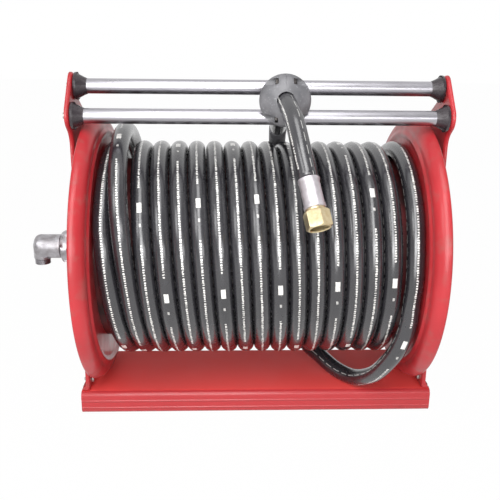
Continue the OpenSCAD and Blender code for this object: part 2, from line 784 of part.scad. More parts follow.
ferrule_unit = unit(ferrule_dir);
slack_arc = [for (a = [-90:-30:-360]) let (p = on_drum(slack_r, a)) [lane_right, p[0], p[1]]];
slack_start = slack_arc[0];
tail_route = concat([slack_start + [0, straight / 2, 0]],
                    [for (i = [1:len(slack_arc) - 1]) slack_arc[i]],
                    slack_points,
                    [ferrule_at - straight * ferrule_unit, ferrule_at]);
tail_centres = concat([slack_start - [0, straight / 2, 0]], spaced(tail_route, ring_gap),
                      [ferrule_at - 0.4 * straight * ferrule_unit, ferrule_at]);
echo(rings_in_tail = len(tail_centres));
function steps(c) = [for (i = [1:len(c) - 1]) norm(c[i] - c[i - 1])];
function total(list) = list * [for (v = list) 1];
echo(tail_length = total(steps(tail_centres)), wind_length = total(steps(wind_centres)));
// A fixed sideways direction keeps the tube from twisting
module hose_tail()
    color("#26272a")
    tube(tail_centres, [for (c = tail_centres) [1, 0.15, 0]], tube_r, tail_sides);

// ---------- stop ----------
module stop_half_shape(s)
    difference() {
        translate([stop_at[0], stop_at[1] + stop_half, stop_at[2]]) rotate([90, 0, 0])
            intersection() {
                cylinder(h = 2 * stop_half, r = stop_r);
                translate([0, 0, 2 * stop_half - stop_dome]) sphere(stop_dome);
            }
        translate([stop_at[0], stop_at[1] + stop_half + cut, stop_at[2]]) rotate([90, 0, 0])
            cylinder(h = 2 * stop_half + 2 * cut, r = stop_bore);
        translate([stop_at[0] - (s > 0 ? 2 * stop_r : 0) + s * 0.25, stop_at[1] - stop_r, stop_at[2] - stop_r])
            cube(2 * stop_r);
        for (z = [-1, 1])
            let (y = stop_at[1], h = stop_at[2] + z * stop_bolt_z) {
                bar(stop_at[0] - stop_r, stop_at[0] + stop_r, stop_bolt_r + seat_gap, y, h);
                bar(stop_at[0] + s * stop_seat, stop_at[0] + s * stop_r, 2 * stop_bolt_r, y, h);
            }
    }
module stop_left_half() color("#31342f") stop_half_shape(-1);
module stop_right_half() color("#31342f") stop_half_shape(1);

module stop_bolts()
    color("silver")
    for (z = [-1, 1])
        let (y = stop_at[1], h = stop_at[2] + z * stop_bolt_z) {
            bar(stop_at[0] - stop_bolt_l / 2, stop_at[0] + stop_bolt_l / 2, stop_bolt_r, y, h);
            for (s = [-1, 1]) hex_bar(stop_at[0] + s * stop_seat, stop_at[0] + s * stop_bolt_l / 2, stop_bolt_r * 3.25, y, h);
        }

// ---------- hose end ----------
// Local z along the hose end, 0 where the ferrule starts
module along_end(d = 0)
    translate(ferrule_at + d * ferrule_unit)
        rotate([0, acos(ferrule_unit[2]), atan2(ferrule_unit[1], ferrule_unit[0])]) children();

module hose_ferrule()
    color("lightgray")
    along_end() difference() {
        cylinder(h = ferrule_l, r = ferrule_r);
        translate([0, 0, -cut]) cylinder(h = ferrule_l + 2 * cut, r = nipple_r + seat_gap);
    }

// Tube inside the ferrule with a collar that the nut turns on
module hose_nipple()
    color("goldenrod")
    along_end() difference() {
        union() {
            translate([0, 0, 1]) cylinder(h = ferrule_l + collar_t + 8, r = nipple_r);
            translate([0, 0, ferrule_l]) cylinder(h = collar_t - 1, r = nipple_r + 5);
            translate([0, 0, ferrule_l + collar_t + 5.4]) cylinder(h = 4, r = nut_thread_r - 1.5);
        }
        translate([0, 0, -cut]) cylinder(h = ferrule_l + collar_t + 12, r = nipple_bore);
    }

module hose_nut()
    color("gold")
    along_end(ferrule_l + collar_t) difference() {
        intersection() {
            cylinder(h = nut_l, r = nut_af / 2 / cos(30), $fn = 6);
            translate([0, 0, nut_l / 2]) sphere(nut_l * 0.86);
        }
        translate([0, 0, -cut]) cylinder(h = nut_l, r = nipple_r + run_gap);
        translate([0, 0, 5]) cylinder(h = nut_l - nut_thread_l - 5, r = nut_relief_r);
        translate([0, 0, nut_l - nut_thread_l - seat_gap]) cylinder(h = nut_thread_l + cut, r = nut_thread_r);
    }

module nut_washer()
    color("#202020")
    along_end(ferrule_l + collar_t + 9.6) difference() {
        cylinder(h = 2.5, r = nut_thread_r - 1.2);
        translate([0, 0, -cut]) cylinder(h = 5, r = nipple_bore);
    }

base_channel();
left_pedestal();
right_pedestal();
foot_brackets();
foot_bolts();
foot_nuts();
left_bearing_housing();
left_bearing_bush();
housing_bolts();
housing_nuts();
right_arbor();
arbor_bolts();
arbor_nuts();
right_bearing_bush();
upper_roller_rod();
lower_roller_rod();
roller_rod_nuts();
upper_roller_tube();
lower_roller_tube();
upper_roller_bushes();
lower_roller_bushes();
drum_core();
left_disc();
right_disc();
left_hub();
right_hub();
left_hub_bolts();
right_hub_bolts();
inlet_shaft();
swivel_seals();
riser_pipe();
outlet_elbow();
spring_case();
spring_case_cover();
power_spring();
ratchet_wheel();
ratchet_pawl();
pawl_pivot();
pawl_spring();
inlet_elbow();
swivel_nut();
hose_winding();
hose_tail();
stop_left_half();
stop_right_half();
stop_bolts();
hose_ferrule();
hose_nipple();
hose_nut();
nut_washer();
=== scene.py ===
# %% [markdown]
# # A spring-rewind fire hose reel
# A red enamelled frame carries a drum with one layer of black rubber hose. The hose end
# runs up behind the drum, over two steel guide rollers, through a rubber stop, and hangs
# down in front with a crimped ferrule and a brass nut. The moving bodies come from the
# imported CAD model. Here each visible piece gets its true roundings, seams and finish.

# %% Load the frame
import math

import bmesh
import bpy
from mathutils import Matrix, Quaternion, Vector


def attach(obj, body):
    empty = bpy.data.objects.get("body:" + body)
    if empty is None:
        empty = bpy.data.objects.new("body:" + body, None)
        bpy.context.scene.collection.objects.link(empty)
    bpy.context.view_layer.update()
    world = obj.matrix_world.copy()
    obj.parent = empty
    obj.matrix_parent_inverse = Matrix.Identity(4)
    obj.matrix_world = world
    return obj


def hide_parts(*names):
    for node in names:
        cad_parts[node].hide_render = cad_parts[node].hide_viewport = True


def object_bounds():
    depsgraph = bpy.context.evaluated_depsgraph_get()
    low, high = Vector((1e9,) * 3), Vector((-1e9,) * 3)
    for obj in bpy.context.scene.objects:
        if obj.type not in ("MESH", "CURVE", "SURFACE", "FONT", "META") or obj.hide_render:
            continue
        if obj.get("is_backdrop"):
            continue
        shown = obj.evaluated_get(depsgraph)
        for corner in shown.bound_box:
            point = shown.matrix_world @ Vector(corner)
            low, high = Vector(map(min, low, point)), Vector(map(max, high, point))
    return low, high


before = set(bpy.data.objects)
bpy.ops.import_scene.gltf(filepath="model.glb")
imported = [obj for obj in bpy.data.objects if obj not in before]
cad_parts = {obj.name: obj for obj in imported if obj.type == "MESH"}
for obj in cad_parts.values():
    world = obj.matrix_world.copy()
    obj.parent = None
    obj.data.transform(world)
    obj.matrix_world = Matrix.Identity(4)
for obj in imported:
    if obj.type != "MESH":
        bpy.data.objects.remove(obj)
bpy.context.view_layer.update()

MM = 0.001

# %% [markdown]
# ## Camera
# The camera stands 1.4 m in front of the reel, a little above its rollers and slightly
# left of the middle, and is tilted down by 16 degrees. It is made first, because the free
# hose is measured against what it sees.

# %% Camera
yaw, pitch, roll = math.radians(2.2), math.radians(16), math.radians(0.6)
camera_at = Vector((-68, -1380, 737)) * MM
forward = Vector((math.sin(yaw) * math.cos(pitch), math.cos(yaw) * math.cos(pitch), -math.sin(pitch)))
level = Vector((math.cos(yaw), -math.sin(yaw), 0))
upward = level.cross(forward)
side = level * math.cos(roll) + upward * math.sin(roll)
over = upward * math.cos(roll) - level * math.sin(roll)

camera = bpy.data.objects.new("camera", bpy.data.cameras.new("camera"))
bpy.context.scene.collection.objects.link(camera)
turn = Matrix((side, over, -forward)).transposed()
camera.matrix_world = Matrix.Translation(camera_at) @ turn.to_4x4()
# Width of the sensor in mm, and focal length and frame in pixels
SENSOR, FOCAL, FRAME = 36, 646.3, 500
camera.data.sensor_width = SENSOR
camera.data.lens = FOCAL / FRAME * SENSOR
bpy.context.scene.camera = camera
print("camera lens in mm:", round(camera.data.lens, 1))

# %% [markdown]
# ## The hose's way
# The hose is 35 mm thick and lies on the drum in turns 36 mm apart. Each early turn swings
# a little from left to right, as a hose that was wound by hand, and near its start it
# climbs over the turn before it. A curve that follows a sum of simple terms is easier to
# tune than a thousand placed points, so the route is a function of the number of turns.

# %% Route of the wound hose
AXIS_Z = 350
# Radius of the hose and of a turn's centre line
HOSE_R, WIND_R = 17.6, 212.4
# First and last place in turns, the rings in a turn, and the way from turn to turn
START, TURNS, TURN_RINGS, PITCH = -150 / 360, 15.25, 48, 36.35
# Where the hose lies against the disc, and where its first turn passes the front
DISC_SIDE, FIRST_X = -302, -293
# How far the first turn swings, how much less each further one does, and the climb
SWING, SWING_DROP, CLIMB = 15, 1.1, 40
# Half the straight length at either end
LEAD = 18


def ease(a, b, t):
    u = min(max((t - a) / (b - a), 0), 1)
    return u * u * (3 - 2 * u)


def on_drum(r, x, angle):
    """Point at a radius from the drum's axis, its angle up from the front."""
    return Vector((x, -r * math.cos(angle), AXIS_Z + r * math.sin(angle)))


def wound_at(t):
    """Each turn swings to the left over the top and to the right below."""
    swing = (SWING - SWING_DROP * t) * math.sin(math.tau * t)
    climb = CLIMB * ease(0.38, 0.50, t) * (1 - ease(0.84, 1.03, t))
    return on_drum(WIND_R + climb, max(DISC_SIDE, FIRST_X + PITCH * t + swing), -math.tau * t)


def lead_at(t, reach):
    angle = -math.tau * t
    return wound_at(t) + reach * Vector((0, -math.sin(angle), -math.cos(angle)))


STEPS = round((TURNS - START) * TURN_RINGS)
wound_route = [lead_at(START, -LEAD), lead_at(START, 0), lead_at(START, LEAD)]
wound_route += [wound_at(START + i * (TURNS - START) / STEPS) for i in range(2, STEPS - 1)]
wound_route += [lead_at(TURNS, -LEAD), lead_at(TURNS, 0), lead_at(TURNS, LEAD)]
print("rings in the wound hose:", len(wound_route))

# %% [markdown]
# The last turn is slack. It leaves the drum in front as a loop, passes under the drum,
# climbs behind it, bends over the lower roller and runs down to the hose's end. Nothing
# repeats there, so its points are listed one by one and joined by a smooth curve.

# %% Route of the free hose
LANE, SLACK_R = 294.4, 214
slack_points = [
    (294, -208, 298), (291, -206, 246), (279, -195, 192), (262, -172, 145), (244, -136, 103), (216, -88, 73),
    (182, -46, 72), (150, -4, 87), (122, 40, 101), (100, 126, 131), (78, 219, 224), (64, 252, 350),
    (56, 219, 476), (50, 126, 569), (46, 66, 596), (42, -20, 633), (40, -92, 668.5), (41, -112, 674.5),
    (42, -131, 675.5), (43, -147, 674), (46, -176, 665), (53, -216, 643), (61, -250, 605)]
END_AT = Vector((73, -285, 549))
END_DIR = Vector((0.18, -0.52, -0.835)).normalized()
slack_turn = [on_drum(SLACK_R, LANE, math.radians(a)) for a in range(-90, -361, -30)]
knots = [slack_turn[0] + Vector((0, LEAD, 0))] + slack_turn[1:] + [Vector(p) for p in slack_points]
knots += [END_AT - 2 * LEAD * END_DIR, END_AT]


def smooth_curve(points, gap):
    """Points about a gap apart on the smooth curve through all the given ones."""
    route = []
    for i in range(len(points) - 1):
        a, b, c, d = (points[min(max(j, 0), len(points) - 1)] for j in range(i - 1, i + 3))
        count = max(1, round((c - b).length / gap))
        for u in (j / count for j in range(count)):
            route.append(0.5 * (2 * b + (c - a) * u + (2 * a - 5 * b + 4 * c - d) * u * u
                                + (3 * b - a - 3 * c + d) * u ** 3))
    return route + [points[-1]]


def length_of(route):
    return sum((b - a).length for a, b in zip(route, route[1:]))


free_route = [slack_turn[0] - Vector((0, LEAD, 0))] + smooth_curve(knots, 14)
print("free hose in mm:", round(length_of(free_route)), "points:", len(free_route))

# %% [markdown]
# ## Helpers for shaping
# Most pieces on a reel are turned, pressed or cut from bar. Each helper below does one
# such job with Blender's own edit-mode tools. Sizes are in millimetres.


# %% Selecting and placing
def deselect():
    if bpy.context.mode != "OBJECT":
        bpy.ops.object.mode_set(mode="OBJECT")
    bpy.ops.object.select_all(action="DESELECT")


def activate(obj):
    deselect()
    obj.select_set(True)
    bpy.context.view_layer.objects.active = obj


def opened(obj, select="SELECT"):
    """Opens a piece in edit mode with all of it selected, or none."""
    activate(obj)
    bpy.ops.object.mode_set(mode="EDIT")
    bpy.ops.mesh.select_all(action=select)


def placed(obj, name, at=(0, 0, 0), along=(0, 0, 1), turn=0.0):
    """Moves a piece made along Z to its place. The object stays at the origin."""
    aim = Vector(along).to_track_quat("Z", "Y").to_matrix().to_4x4()
    obj.data.transform(Matrix.Translation(Vector(at) * MM) @ aim @ Matrix.Rotation(turn, 4, "Z")
                       @ obj.matrix_world)
    obj.matrix_world = Matrix.Identity(4)
    obj.name = obj.data.name = name
    return obj


# %% Turning
def turned(name, profile, steps=96, at=(0, 0, 0), along=(0, 0, 1)):
    """A piece turned on a lathe from (radius, height) points, closed or touching the axis."""
    deselect()
    bpy.ops.mesh.primitive_plane_add(size=MM)
    obj = bpy.context.object
    bpy.ops.object.mode_set(mode="EDIT")
    bpy.ops.mesh.select_mode(type="VERT")
    bpy.ops.mesh.merge(type="CENTER")
    bpy.ops.transform.translate(value=(profile[0][0] * MM, 0, profile[0][1] * MM))
    for (a, b), (c, d) in zip(profile, profile[1:]):
        bpy.ops.mesh.extrude_region_move(TRANSFORM_OT_translate={"value": ((c - a) * MM, 0, (d - b) * MM)})
    bpy.ops.mesh.select_all(action="SELECT")
    bpy.ops.mesh.spin(steps=steps, angle=math.tau, center=(0, 0, 0), axis=(0, 0, 1))
    bpy.ops.mesh.select_all(action="SELECT")
    bpy.ops.mesh.remove_doubles(threshold=0.005 * MM)
    bpy.ops.mesh.normals_make_consistent(inside=False)
    bpy.ops.object.mode_set(mode="OBJECT")
    return placed(obj, name, at, along)


# %% Cutting, joining and rounding
def changed(obj, kind, **settings):
    """Gives a piece a modifier with its settings, and applies it."""
    activate(obj)
    change = obj.modifiers.new(kind.lower(), kind)
    for key, value in settings.items():
        setattr(change, key, value)
    bpy.ops.object.modifier_apply(modifier=change.name)
    return obj


def carve(obj, tool, kind="DIFFERENCE"):
    """Cuts a tool out of a piece, or keeps or adds it, and removes the tool."""
    changed(obj, "BOOLEAN", operation=kind, object=tool, solver="EXACT")
    bpy.data.objects.remove(tool)
    return obj


def joined(name, pieces):
    deselect()
    for piece in pieces:
        piece.select_set(True)
    bpy.context.view_layer.objects.active = pieces[0]
    bpy.ops.object.join()
    pieces[0].name = pieces[0].data.name = name
    return pieces[0]


def smoothed(obj, degrees=35):
    activate(obj)
    bpy.ops.object.shade_smooth_by_angle(angle=math.radians(degrees))
    return obj


def softened(obj, width, segments=2, degrees=40):
    """Rounds every edge sharper than an angle."""
    changed(obj, "BEVEL", width=width * MM, segments=segments, limit_method="ANGLE",
            angle_limit=math.radians(degrees), harden_normals=False)
    return smoothed(obj)


# %% [markdown]
# ## Helpers for finishes
# Colours are written as sRGB hex values, as a paint chip would be read, and turned to the
# linear values that Blender mixes in. One function adds a node, and one builds the slow
# change in tone that every real surface has. Colours are laid on as a painter does, from
# the first coat to the last scuff.


# %% Nodes and colours
def linear(hex_colour):
    parts = [int(hex_colour[i:i + 2], 16) / 255 for i in (1, 3, 5)]
    return tuple(p / 12.92 if p <= 0.04045 else ((p + 0.055) / 1.055) ** 2.4 for p in parts) + (1.0,)


def add_node(owner, kind, inputs, output=0, **settings):
    """Adds a node and returns one output. Inputs are values or the sockets that feed them."""
    node = owner.node_tree.nodes.new("ShaderNode" + kind)
    for key, value in settings.items():
        setattr(node, key, value)
    for key, value in inputs.items():
        if isinstance(value, bpy.types.NodeSocket):
            owner.node_tree.links.new(value, node.inputs[key])
        else:
            node.inputs[key].default_value = value
    return node.outputs[output]


def shader_inputs(material):
    return material.node_tree.nodes["Principled BSDF"].inputs


def feed(material, sources):
    """Links what varies over a surface to the shader's sockets."""
    for key, source in sources.items():
        material.node_tree.links.new(source, shader_inputs(material)[key])


def new_finish(name, colour, roughness, metallic=0.0, **sockets):
    """A material with the plain values of its shader set."""
    material = bpy.data.materials.new(name)
    material.use_nodes = True
    plain = {"Base Color": linear(colour), "Roughness": roughness, "Metallic": metallic}
    plain.update({key.replace("_", " "): value for key, value in sockets.items()})
    for key, value in plain.items():
        shader_inputs(material)[key].default_value = value
    print("finish:", name)
    return material


# %% Layers of a finish
def drift(material, size, low=0.0, high=1.0, stretch=(1, 1, 1), detail=3.0, edges=(0.3, 0.7)):
    """A value that drifts from low to high over patches of a size in millimetres."""
    own_place = add_node(material, "TexCoord", {}, "Object")
    place = add_node(material, "Mapping", {"Vector": own_place, "Scale": stretch})
    noise = add_node(material, "TexNoise",
                     {"Vector": place, "Scale": 1 / (size * MM), "Detail": detail}, "Fac")
    return add_node(material, "MapRange", {"Value": noise, "From Min": edges[0], "From Max": edges[1],
                                           "To Min": low, "To Max": high})


def facing(owner, axis):
    """How far a surface faces along an axis, from -1 to 1."""
    return add_node(owner, "SeparateXYZ", {"Vector": add_node(owner, "NewGeometry", {}, "Normal")}, axis)


def layered(material, *layers, first=None):
    """Lays colours over a first one, or over those laid before, each as far as its amount."""
    colour = linear(first) if first else shader_inputs(material)["Base Color"].links[0].from_socket
    for amount, over in layers:
        colour = add_node(material, "Mix", {0: amount, 6: colour, 7: linear(over)}, 2, data_type="RGBA")
    feed(material, {"Base Color": colour})


def worked_finish(name, colour, roughness, metallic, tones, patch, rough, skin, **sockets):
    """A finish whose tones, roughness and skin each drift over a size in millimetres.

    Patch is the size and detail of the tones, rough the size, least, most and detail of
    the roughness, and skin the size, detail and depth of the bumps.
    """
    material = new_finish(name, colour, roughness, metallic, **sockets)
    layered(material, (drift(material, patch[0], detail=patch[1]), tones[1]), first=tones[0])
    if rough:
        size, least, most, detail = rough
        feed(material, {"Roughness": drift(material, size, least, most, detail=detail)})
    bumps = drift(material, skin[0], detail=skin[1])
    feed(material, {"Normal": add_node(material, "Bump", {"Height": bumps, "Distance": skin[2] * MM})})
    return material


# %% Dressing pieces
def clothe(material, *nodes):
    """Gives CAD nodes a finish."""
    for name in nodes:
        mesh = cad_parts[name].data
        mesh.materials.clear()
        mesh.materials.append(material)


def fit(obj, body, material, *nodes, slot):
    """Dresses a finished piece, sets it on its body and lets it stand for CAD nodes."""
    obj.data.materials.clear()
    obj.data.materials.append(material)
    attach(obj, body)
    if nodes:
        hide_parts(*nodes)
    print(obj.name, "on", body, "with", len(obj.data.polygons), "faces")
    return obj


# %% [markdown]
# ## Hose rubber and its print
# The hose cover is extruded nitrile rubber: charcoal, with a clear sheen along each turn
# and scuffs on its outer side. A broken white line is printed along it, with a plain bar
# and a dash before each half metre. Print follows the hose, so it reads the hose's own UV
# map: U is the turn round the hose with 0 on the printed side, and V the way along it in
# metres. Each mark is a few steps of arithmetic, so the steps are a table, and one loop
# adds a node for each row.

# %% Steps of the print
PRINT_PERIOD = 0.4995
HOSE_ROUND = math.tau * HOSE_R
# A step: its name, its operation and its terms. COMPARE is 1 within a distance of a value.
print_steps = [
    ("across", "MULTIPLY", "round", HOSE_ROUND),
    ("share", "MULTIPLY", "along", 1 / PRINT_PERIOD), ("share", "FRACT", "share"),
    ("period", "MULTIPLY", "share", PRINT_PERIOD / MM),
    # Short uneven marks every 4.6 mm over the first 400 mm of each period, in a 4 mm band
    ("place", "MULTIPLY", "period", 1 / 4.6), ("place", "FRACT", "place"),
    ("mark", "LESS_THAN", "place", "uneven"), ("long", "COMPARE", "period", 202, 198),
    ("wide", "COMPARE", "across", 0, "height"), ("mark", "MULTIPLY", "mark", "long"),
    ("printed", "MULTIPLY", "mark", "wide"),
    # A plain bar 9 mm wide and 18 mm long
    ("long", "COMPARE", "period", 437, 9), ("wide", "COMPARE", "across", 0, 4.5),
    ("printed", "MULTIPLY_ADD", "long", "wide", "printed"),
    # A short faint dash
    ("long", "COMPARE", "period", 469, 3), ("wide", "COMPARE", "across", 0, 2),
    ("mark", "MULTIPLY", "long", "wide"), ("printed", "MULTIPLY_ADD", "mark", 0.6, "printed"),
    # A thin second line of long dashes a quarter of the way round
    ("off_line", "ABSOLUTE", "across"), ("wide", "COMPARE", "off_line", HOSE_ROUND * 0.235, 0.8),
    ("place", "MULTIPLY", "period", 1 / 24), ("place", "FRACT", "place"),
    ("long", "LESS_THAN", "place", 0.7), ("mark", "MULTIPLY", "long", "wide"),
    ("printed", "MULTIPLY_ADD", "mark", 0.45, "printed"),
    # The print has worn off in spots
    ("printed", "MINIMUM", "printed", 1), ("printed", "MULTIPLY", "printed", "worn")]
print("print period in mm:", round(PRINT_PERIOD / MM), "hose girth in mm:", round(HOSE_ROUND, 1))

# %% Hose rubber
# Rubber that slid through a die shines along its length: low roughness under a thin coat
hose_rubber = new_finish("extruded_nitrile_rubber", "#333236", 0.26, Specular_IOR_Level=0.9,
                         Coat_Weight=0.4, Coat_Roughness=0.22)
hose_uv = add_node(hose_rubber, "UVMap", {}, uv_map="along_hose")
hose_place = add_node(hose_rubber, "SeparateXYZ", {"Vector": hose_uv}).node.outputs
values = {"round": hose_place["X"], "along": hose_place["Y"], "uneven": drift(hose_rubber, 7, 0.2, 0.95),
          "height": drift(hose_rubber, 4, 1.1, 2.5), "worn": drift(hose_rubber, 2.5, 0.62, edges=(0.3, 0.55))}
for name, operation, *terms in print_steps:
    values[name] = add_node(hose_rubber, "Math", {i: values.get(term, term) for i, term in enumerate(terms)},
                            operation=operation)
layered(hose_rubber, (drift(hose_rubber, 90), "#2a292d"),
        (drift(hose_rubber, 3, 0, 0.4, detail=6, edges=(0.62, 0.75)), "#454245"),
        (values["printed"], "#e9e7e2"), first="#1f1e22")
grain = drift(hose_rubber, 1.4, edges=(0.2, 0.8))
feed(hose_rubber, {"Roughness": drift(hose_rubber, 14, 0.2, 0.3, detail=5),
                   "Normal": add_node(hose_rubber, "Bump", {"Height": grain, "Distance": 0.012 * MM})})

# %% [markdown]
# ## Hose
# A hose is a ring of points carried along its route. Building the rings in code keeps
# their spacing, and gives each face its place along and round the hose for the print.


# %% Hose builder
def round_hose(name, route, outward, radius=HOSE_R, sides=24, first_v=0.0):
    """A closed round tube in millimetres. Outward is where its printed line points."""
    shape = bmesh.new()
    rings, run = [], [first_v]
    for i, centre in enumerate(route):
        ahead = (route[min(i + 1, len(route) - 1)] - route[max(i - 1, 0)]).normalized()
        up = (outward[i] - outward[i].dot(ahead) * ahead).normalized()
        across_way = ahead.cross(up)
        size = radius(run[-1]) if callable(radius) else radius
        rings.append([shape.verts.new((centre + size * (math.cos(a) * up + math.sin(a) * across_way)) * MM)
                      for a in (math.tau * (k / sides - 0.5) for k in range(sides))])
        if i + 1 < len(route):
            run.append(run[-1] + (route[i + 1] - centre).length * MM)
    uv = shape.loops.layers.uv.new("along_hose")
    for i in range(len(rings) - 1):
        for k in range(sides):
            n = (k + 1) % sides
            face = shape.faces.new((rings[i][k], rings[i][n], rings[i + 1][n], rings[i + 1][k]))
            face.smooth = True
            for loop, (u, v) in zip(face.loops, ((k, i), (k + 1, i), (k + 1, i + 1), (k, i + 1))):
                loop[uv].uv = (u / sides - 0.5, run[v])
    for ring in (reversed(rings[0]), rings[-1]):
        shape.faces.new(tuple(ring))
    bmesh.ops.recalc_face_normals(shape, faces=shape.faces)
    mesh = bpy.data.meshes.new(name)
    shape.to_mesh(mesh)
    shape.free()
    obj = bpy.data.objects.new(name, mesh)
    bpy.context.scene.collection.objects.link(obj)
    return obj


# %% Wound hose
from_axis = [Vector((0, p.y, p.z - AXIS_Z)) for p in wound_route]
# The print starts where the second turn faces front, a little above the middle
PRINT_START = 0.182
# Pressed against its neighbours, the hose is a little fuller than when it hangs free
PRESSED_R = 17.95
wound_hose = round_hose("wound_hose", wound_route, from_axis, PRESSED_R, first_v=PRINT_START)
fit(wound_hose, "drum", hose_rubber, "hose_winding", slot="hose_rubber")

# %% [markdown]
# The free hose is one length of hose, at the hose's real thickness. Its
# printed line faces outward on the slack turn and has turned to the left of the hose by
# the time it hangs down, so the twist is spread evenly along the way.

# %% Free hose
aheads = [(free_route[min(i + 1, len(free_route) - 1)] - free_route[max(i - 1, 0)]).normalized()
          for i in range(len(free_route))]
carried = [Vector((0, 0, -1))]
for before, after in zip(aheads, aheads[1:]):
    carried.append(before.rotation_difference(after) @ carried[-1])
goal = Vector((-0.8, -0.6, 0))
goal = (goal - goal.dot(aheads[-1]) * aheads[-1]).normalized()
twist = math.atan2(carried[-1].cross(goal).dot(aheads[-1]), carried[-1].dot(goal))
spread = [twist * ease(0.35, 1.0, i / len(free_route)) for i in range(len(free_route))]
faced = [Quaternion(ahead, angle) @ way for ahead, angle, way in zip(aheads, spread, carried)]
free_hose = round_hose("free_hose", free_route, faced, first_v=0.27)
print("twist in degrees:", round(math.degrees(twist)))

# %% [markdown]
# ## Red enamel
# The frame and the discs are pressed mild steel with an air-dried gloss enamel. Enamel is
# a coloured paint under its own clear gloss, so it gets a coat. The eye reads it as paint
# from its faint orange peel, a slow change in tone, a brownish bloom where the hose rubs
# and small dark chips. Dust on its upward faces takes the gloss off them.

# %% Red enamel
red_enamel = new_finish("gloss_enamel_on_steel", "#b5373b", 0.38, Coat_Roughness=0.12)
facing_up = add_node(red_enamel, "MapRange", {"Value": facing(red_enamel, "Z"), "From Min": 0.6})
for socket, clean, dusty in (("Coat Weight", 0.22, 0.02), ("Specular IOR Level", 0.36, 0.05)):
    shader_inputs(red_enamel)[socket].default_value = clean
    dulled = add_node(red_enamel, "MapRange", {"Value": facing_up, "To Min": clean, "To Max": dusty})
    feed(red_enamel, {socket: dulled})
dust = add_node(red_enamel, "Math", {0: facing_up, 1: drift(red_enamel, 22, 0, 0.12, detail=6)},
                operation="MULTIPLY")
rubs = drift(red_enamel, 26, 0, 0.4, detail=9, edges=(0.52, 0.7))
chips = drift(red_enamel, 7, detail=8, edges=(0.735, 0.75))
layered(red_enamel, (drift(red_enamel, 160), "#b82f35"), (dust, "#8f7a72"), (rubs, "#8c5650"),
        (chips, "#5a2a26"), first="#a32228")
feed(red_enamel, {"Roughness": drift(red_enamel, 35, 0.32, 0.46, detail=4)})
# Orange peel: dimples about 2 mm across, shallower in the clear gloss than in the colour
peel = drift(red_enamel, 2.2, detail=2, edges=(0.2, 0.8))
for socket, depth in (("Normal", 0.035), ("Coat Normal", 0.02)):
    feed(red_enamel, {socket: add_node(red_enamel, "Bump", {"Height": peel, "Distance": depth * MM})})
clothe(red_enamel, "foot_brackets", "left_bearing_housing")

# %% [markdown]
# The base is rolled sheet. Its front wall has two shallow beads pressed along it, which
# catch the light as thin lines, and its top is painted paler than its walls as painted
# light. The drum's core shows only in the gaps between the hose's turns, and is painted
# near black there as painted shade. Both wear the same enamel with other values, so both
# start as a copy of it.

# %% Beaded enamel with a painted light top, and core enamel with painted shade
beaded_enamel, shade_dark_enamel = red_enamel.copy(), red_enamel.copy()
for paint, name, tone in ((beaded_enamel, "beaded_enamel_on_steel", "#b33236"),
                          (shade_dark_enamel, "shade_dark_enamel_on_steel", "#221112")):
    paint.name = name
    layered(paint, (drift(paint, 60, 0.8), tone))
    print(paint.name, "turns towards", tone)
# The core's near-black tone is painted shade for the gaps between the hose's turns
clothe(shade_dark_enamel, "drum_core")
# Faces that point up are painted paler: a painted highlight for light falling on the base's top
painted_top_light = add_node(beaded_enamel, "MapRange", {"Value": facing(beaded_enamel, "Z"), "From Min": 0.9})
layered(beaded_enamel, (painted_top_light, "#fb5653"))

# %% Beads along the base
# Heights of the two beads, half a bead's width and its depth
BEAD_HEIGHTS, BEAD_HALF, BEAD_DEPTH = (14, 30), 3.2, 1.2
bead_z = add_node(beaded_enamel, "SeparateXYZ",
                  {"Vector": add_node(beaded_enamel, "TexCoord", {}, "Object")}, "Z")
beads = []
for z in BEAD_HEIGHTS:
    off = add_node(beaded_enamel, "Math", {0: bead_z, 1: z * MM}, operation="SUBTRACT")
    off = add_node(beaded_enamel, "Math", {0: off}, operation="ABSOLUTE")
    beads.append(add_node(beaded_enamel, "MapRange", {"Value": off, "From Max": BEAD_HALF * MM, "To Min": 1,
                                                      "To Max": 0}, interpolation_type="SMOOTHSTEP"))
both = add_node(beaded_enamel, "Math", {0: beads[0], 1: beads[1]}, operation="MAXIMUM")
bead_bump = add_node(beaded_enamel, "Bump", {"Height": both, "Distance": BEAD_DEPTH * MM})
feed(beaded_enamel, {"Normal": bead_bump, "Coat Normal": bead_bump})
clothe(beaded_enamel, "base_channel")

# %% [markdown]
# ## Bare and plated metals
# Each metal differs in how it was made. Drawn tube has fine lines along it, zinc plate a
# faint crystal pattern, cast and plated brass a soft skin, machined brass a fine grain of
# tool marks. A metal's look comes from its roughness and relief more than its colour.

# %% Drawn stainless tube
# Draw lines run along X, 0.4 mm apart, shown 1 mm apart: they stretch a highlight sideways
stainless = new_finish("drawn_stainless_steel", "#aeacb2", 0.3, 1.0)
lines = drift(stainless, 1.0, stretch=(0.02, 1, 1), detail=4)
layered(stainless, (lines, "#bab8bd"), first="#a3a1a7")
feed(stainless, {"Roughness": drift(stainless, 18, 0.27, 0.36, stretch=(0.3, 1, 1)),
                 "Normal": add_node(stainless, "Bump", {"Height": lines, "Distance": 0.005 * MM})})
clothe(stainless, "upper_roller_tube", "lower_roller_tube", "inlet_shaft")

# %% Plated and dark metals
# Zinc plate: 4 mm crystals break up its shine
zinc_plate = worked_finish("zinc_plated_steel", "#a9a9a6", 0.34, 1.0, ("#98989a", "#bcbab2"),
                           patch=(4, 5), rough=(3, 0.26, 0.44, 3), skin=(4, 5, 0.02))
clothe(zinc_plate, "upper_roller_rod", "lower_roller_rod", "pawl_pivot", "foot_nuts", "housing_nuts",
       "arbor_nuts")
# Blackened steel: oil lies on it in uneven patches, some brown
dark_steel = worked_finish("oiled_black_steel", "#3b3a3c", 0.42, 1.0, ("#302f31", "#4b4744"),
                           patch=(30, 5), rough=(12, 0.3, 0.52, 5), skin=(1.2, 3, 0.04))
clothe(dark_steel, "left_hub", "right_hub", "right_arbor", "riser_pipe", "outlet_elbow", "spring_case",
       "spring_case_cover", "power_spring", "ratchet_wheel", "ratchet_pawl", "pawl_spring")
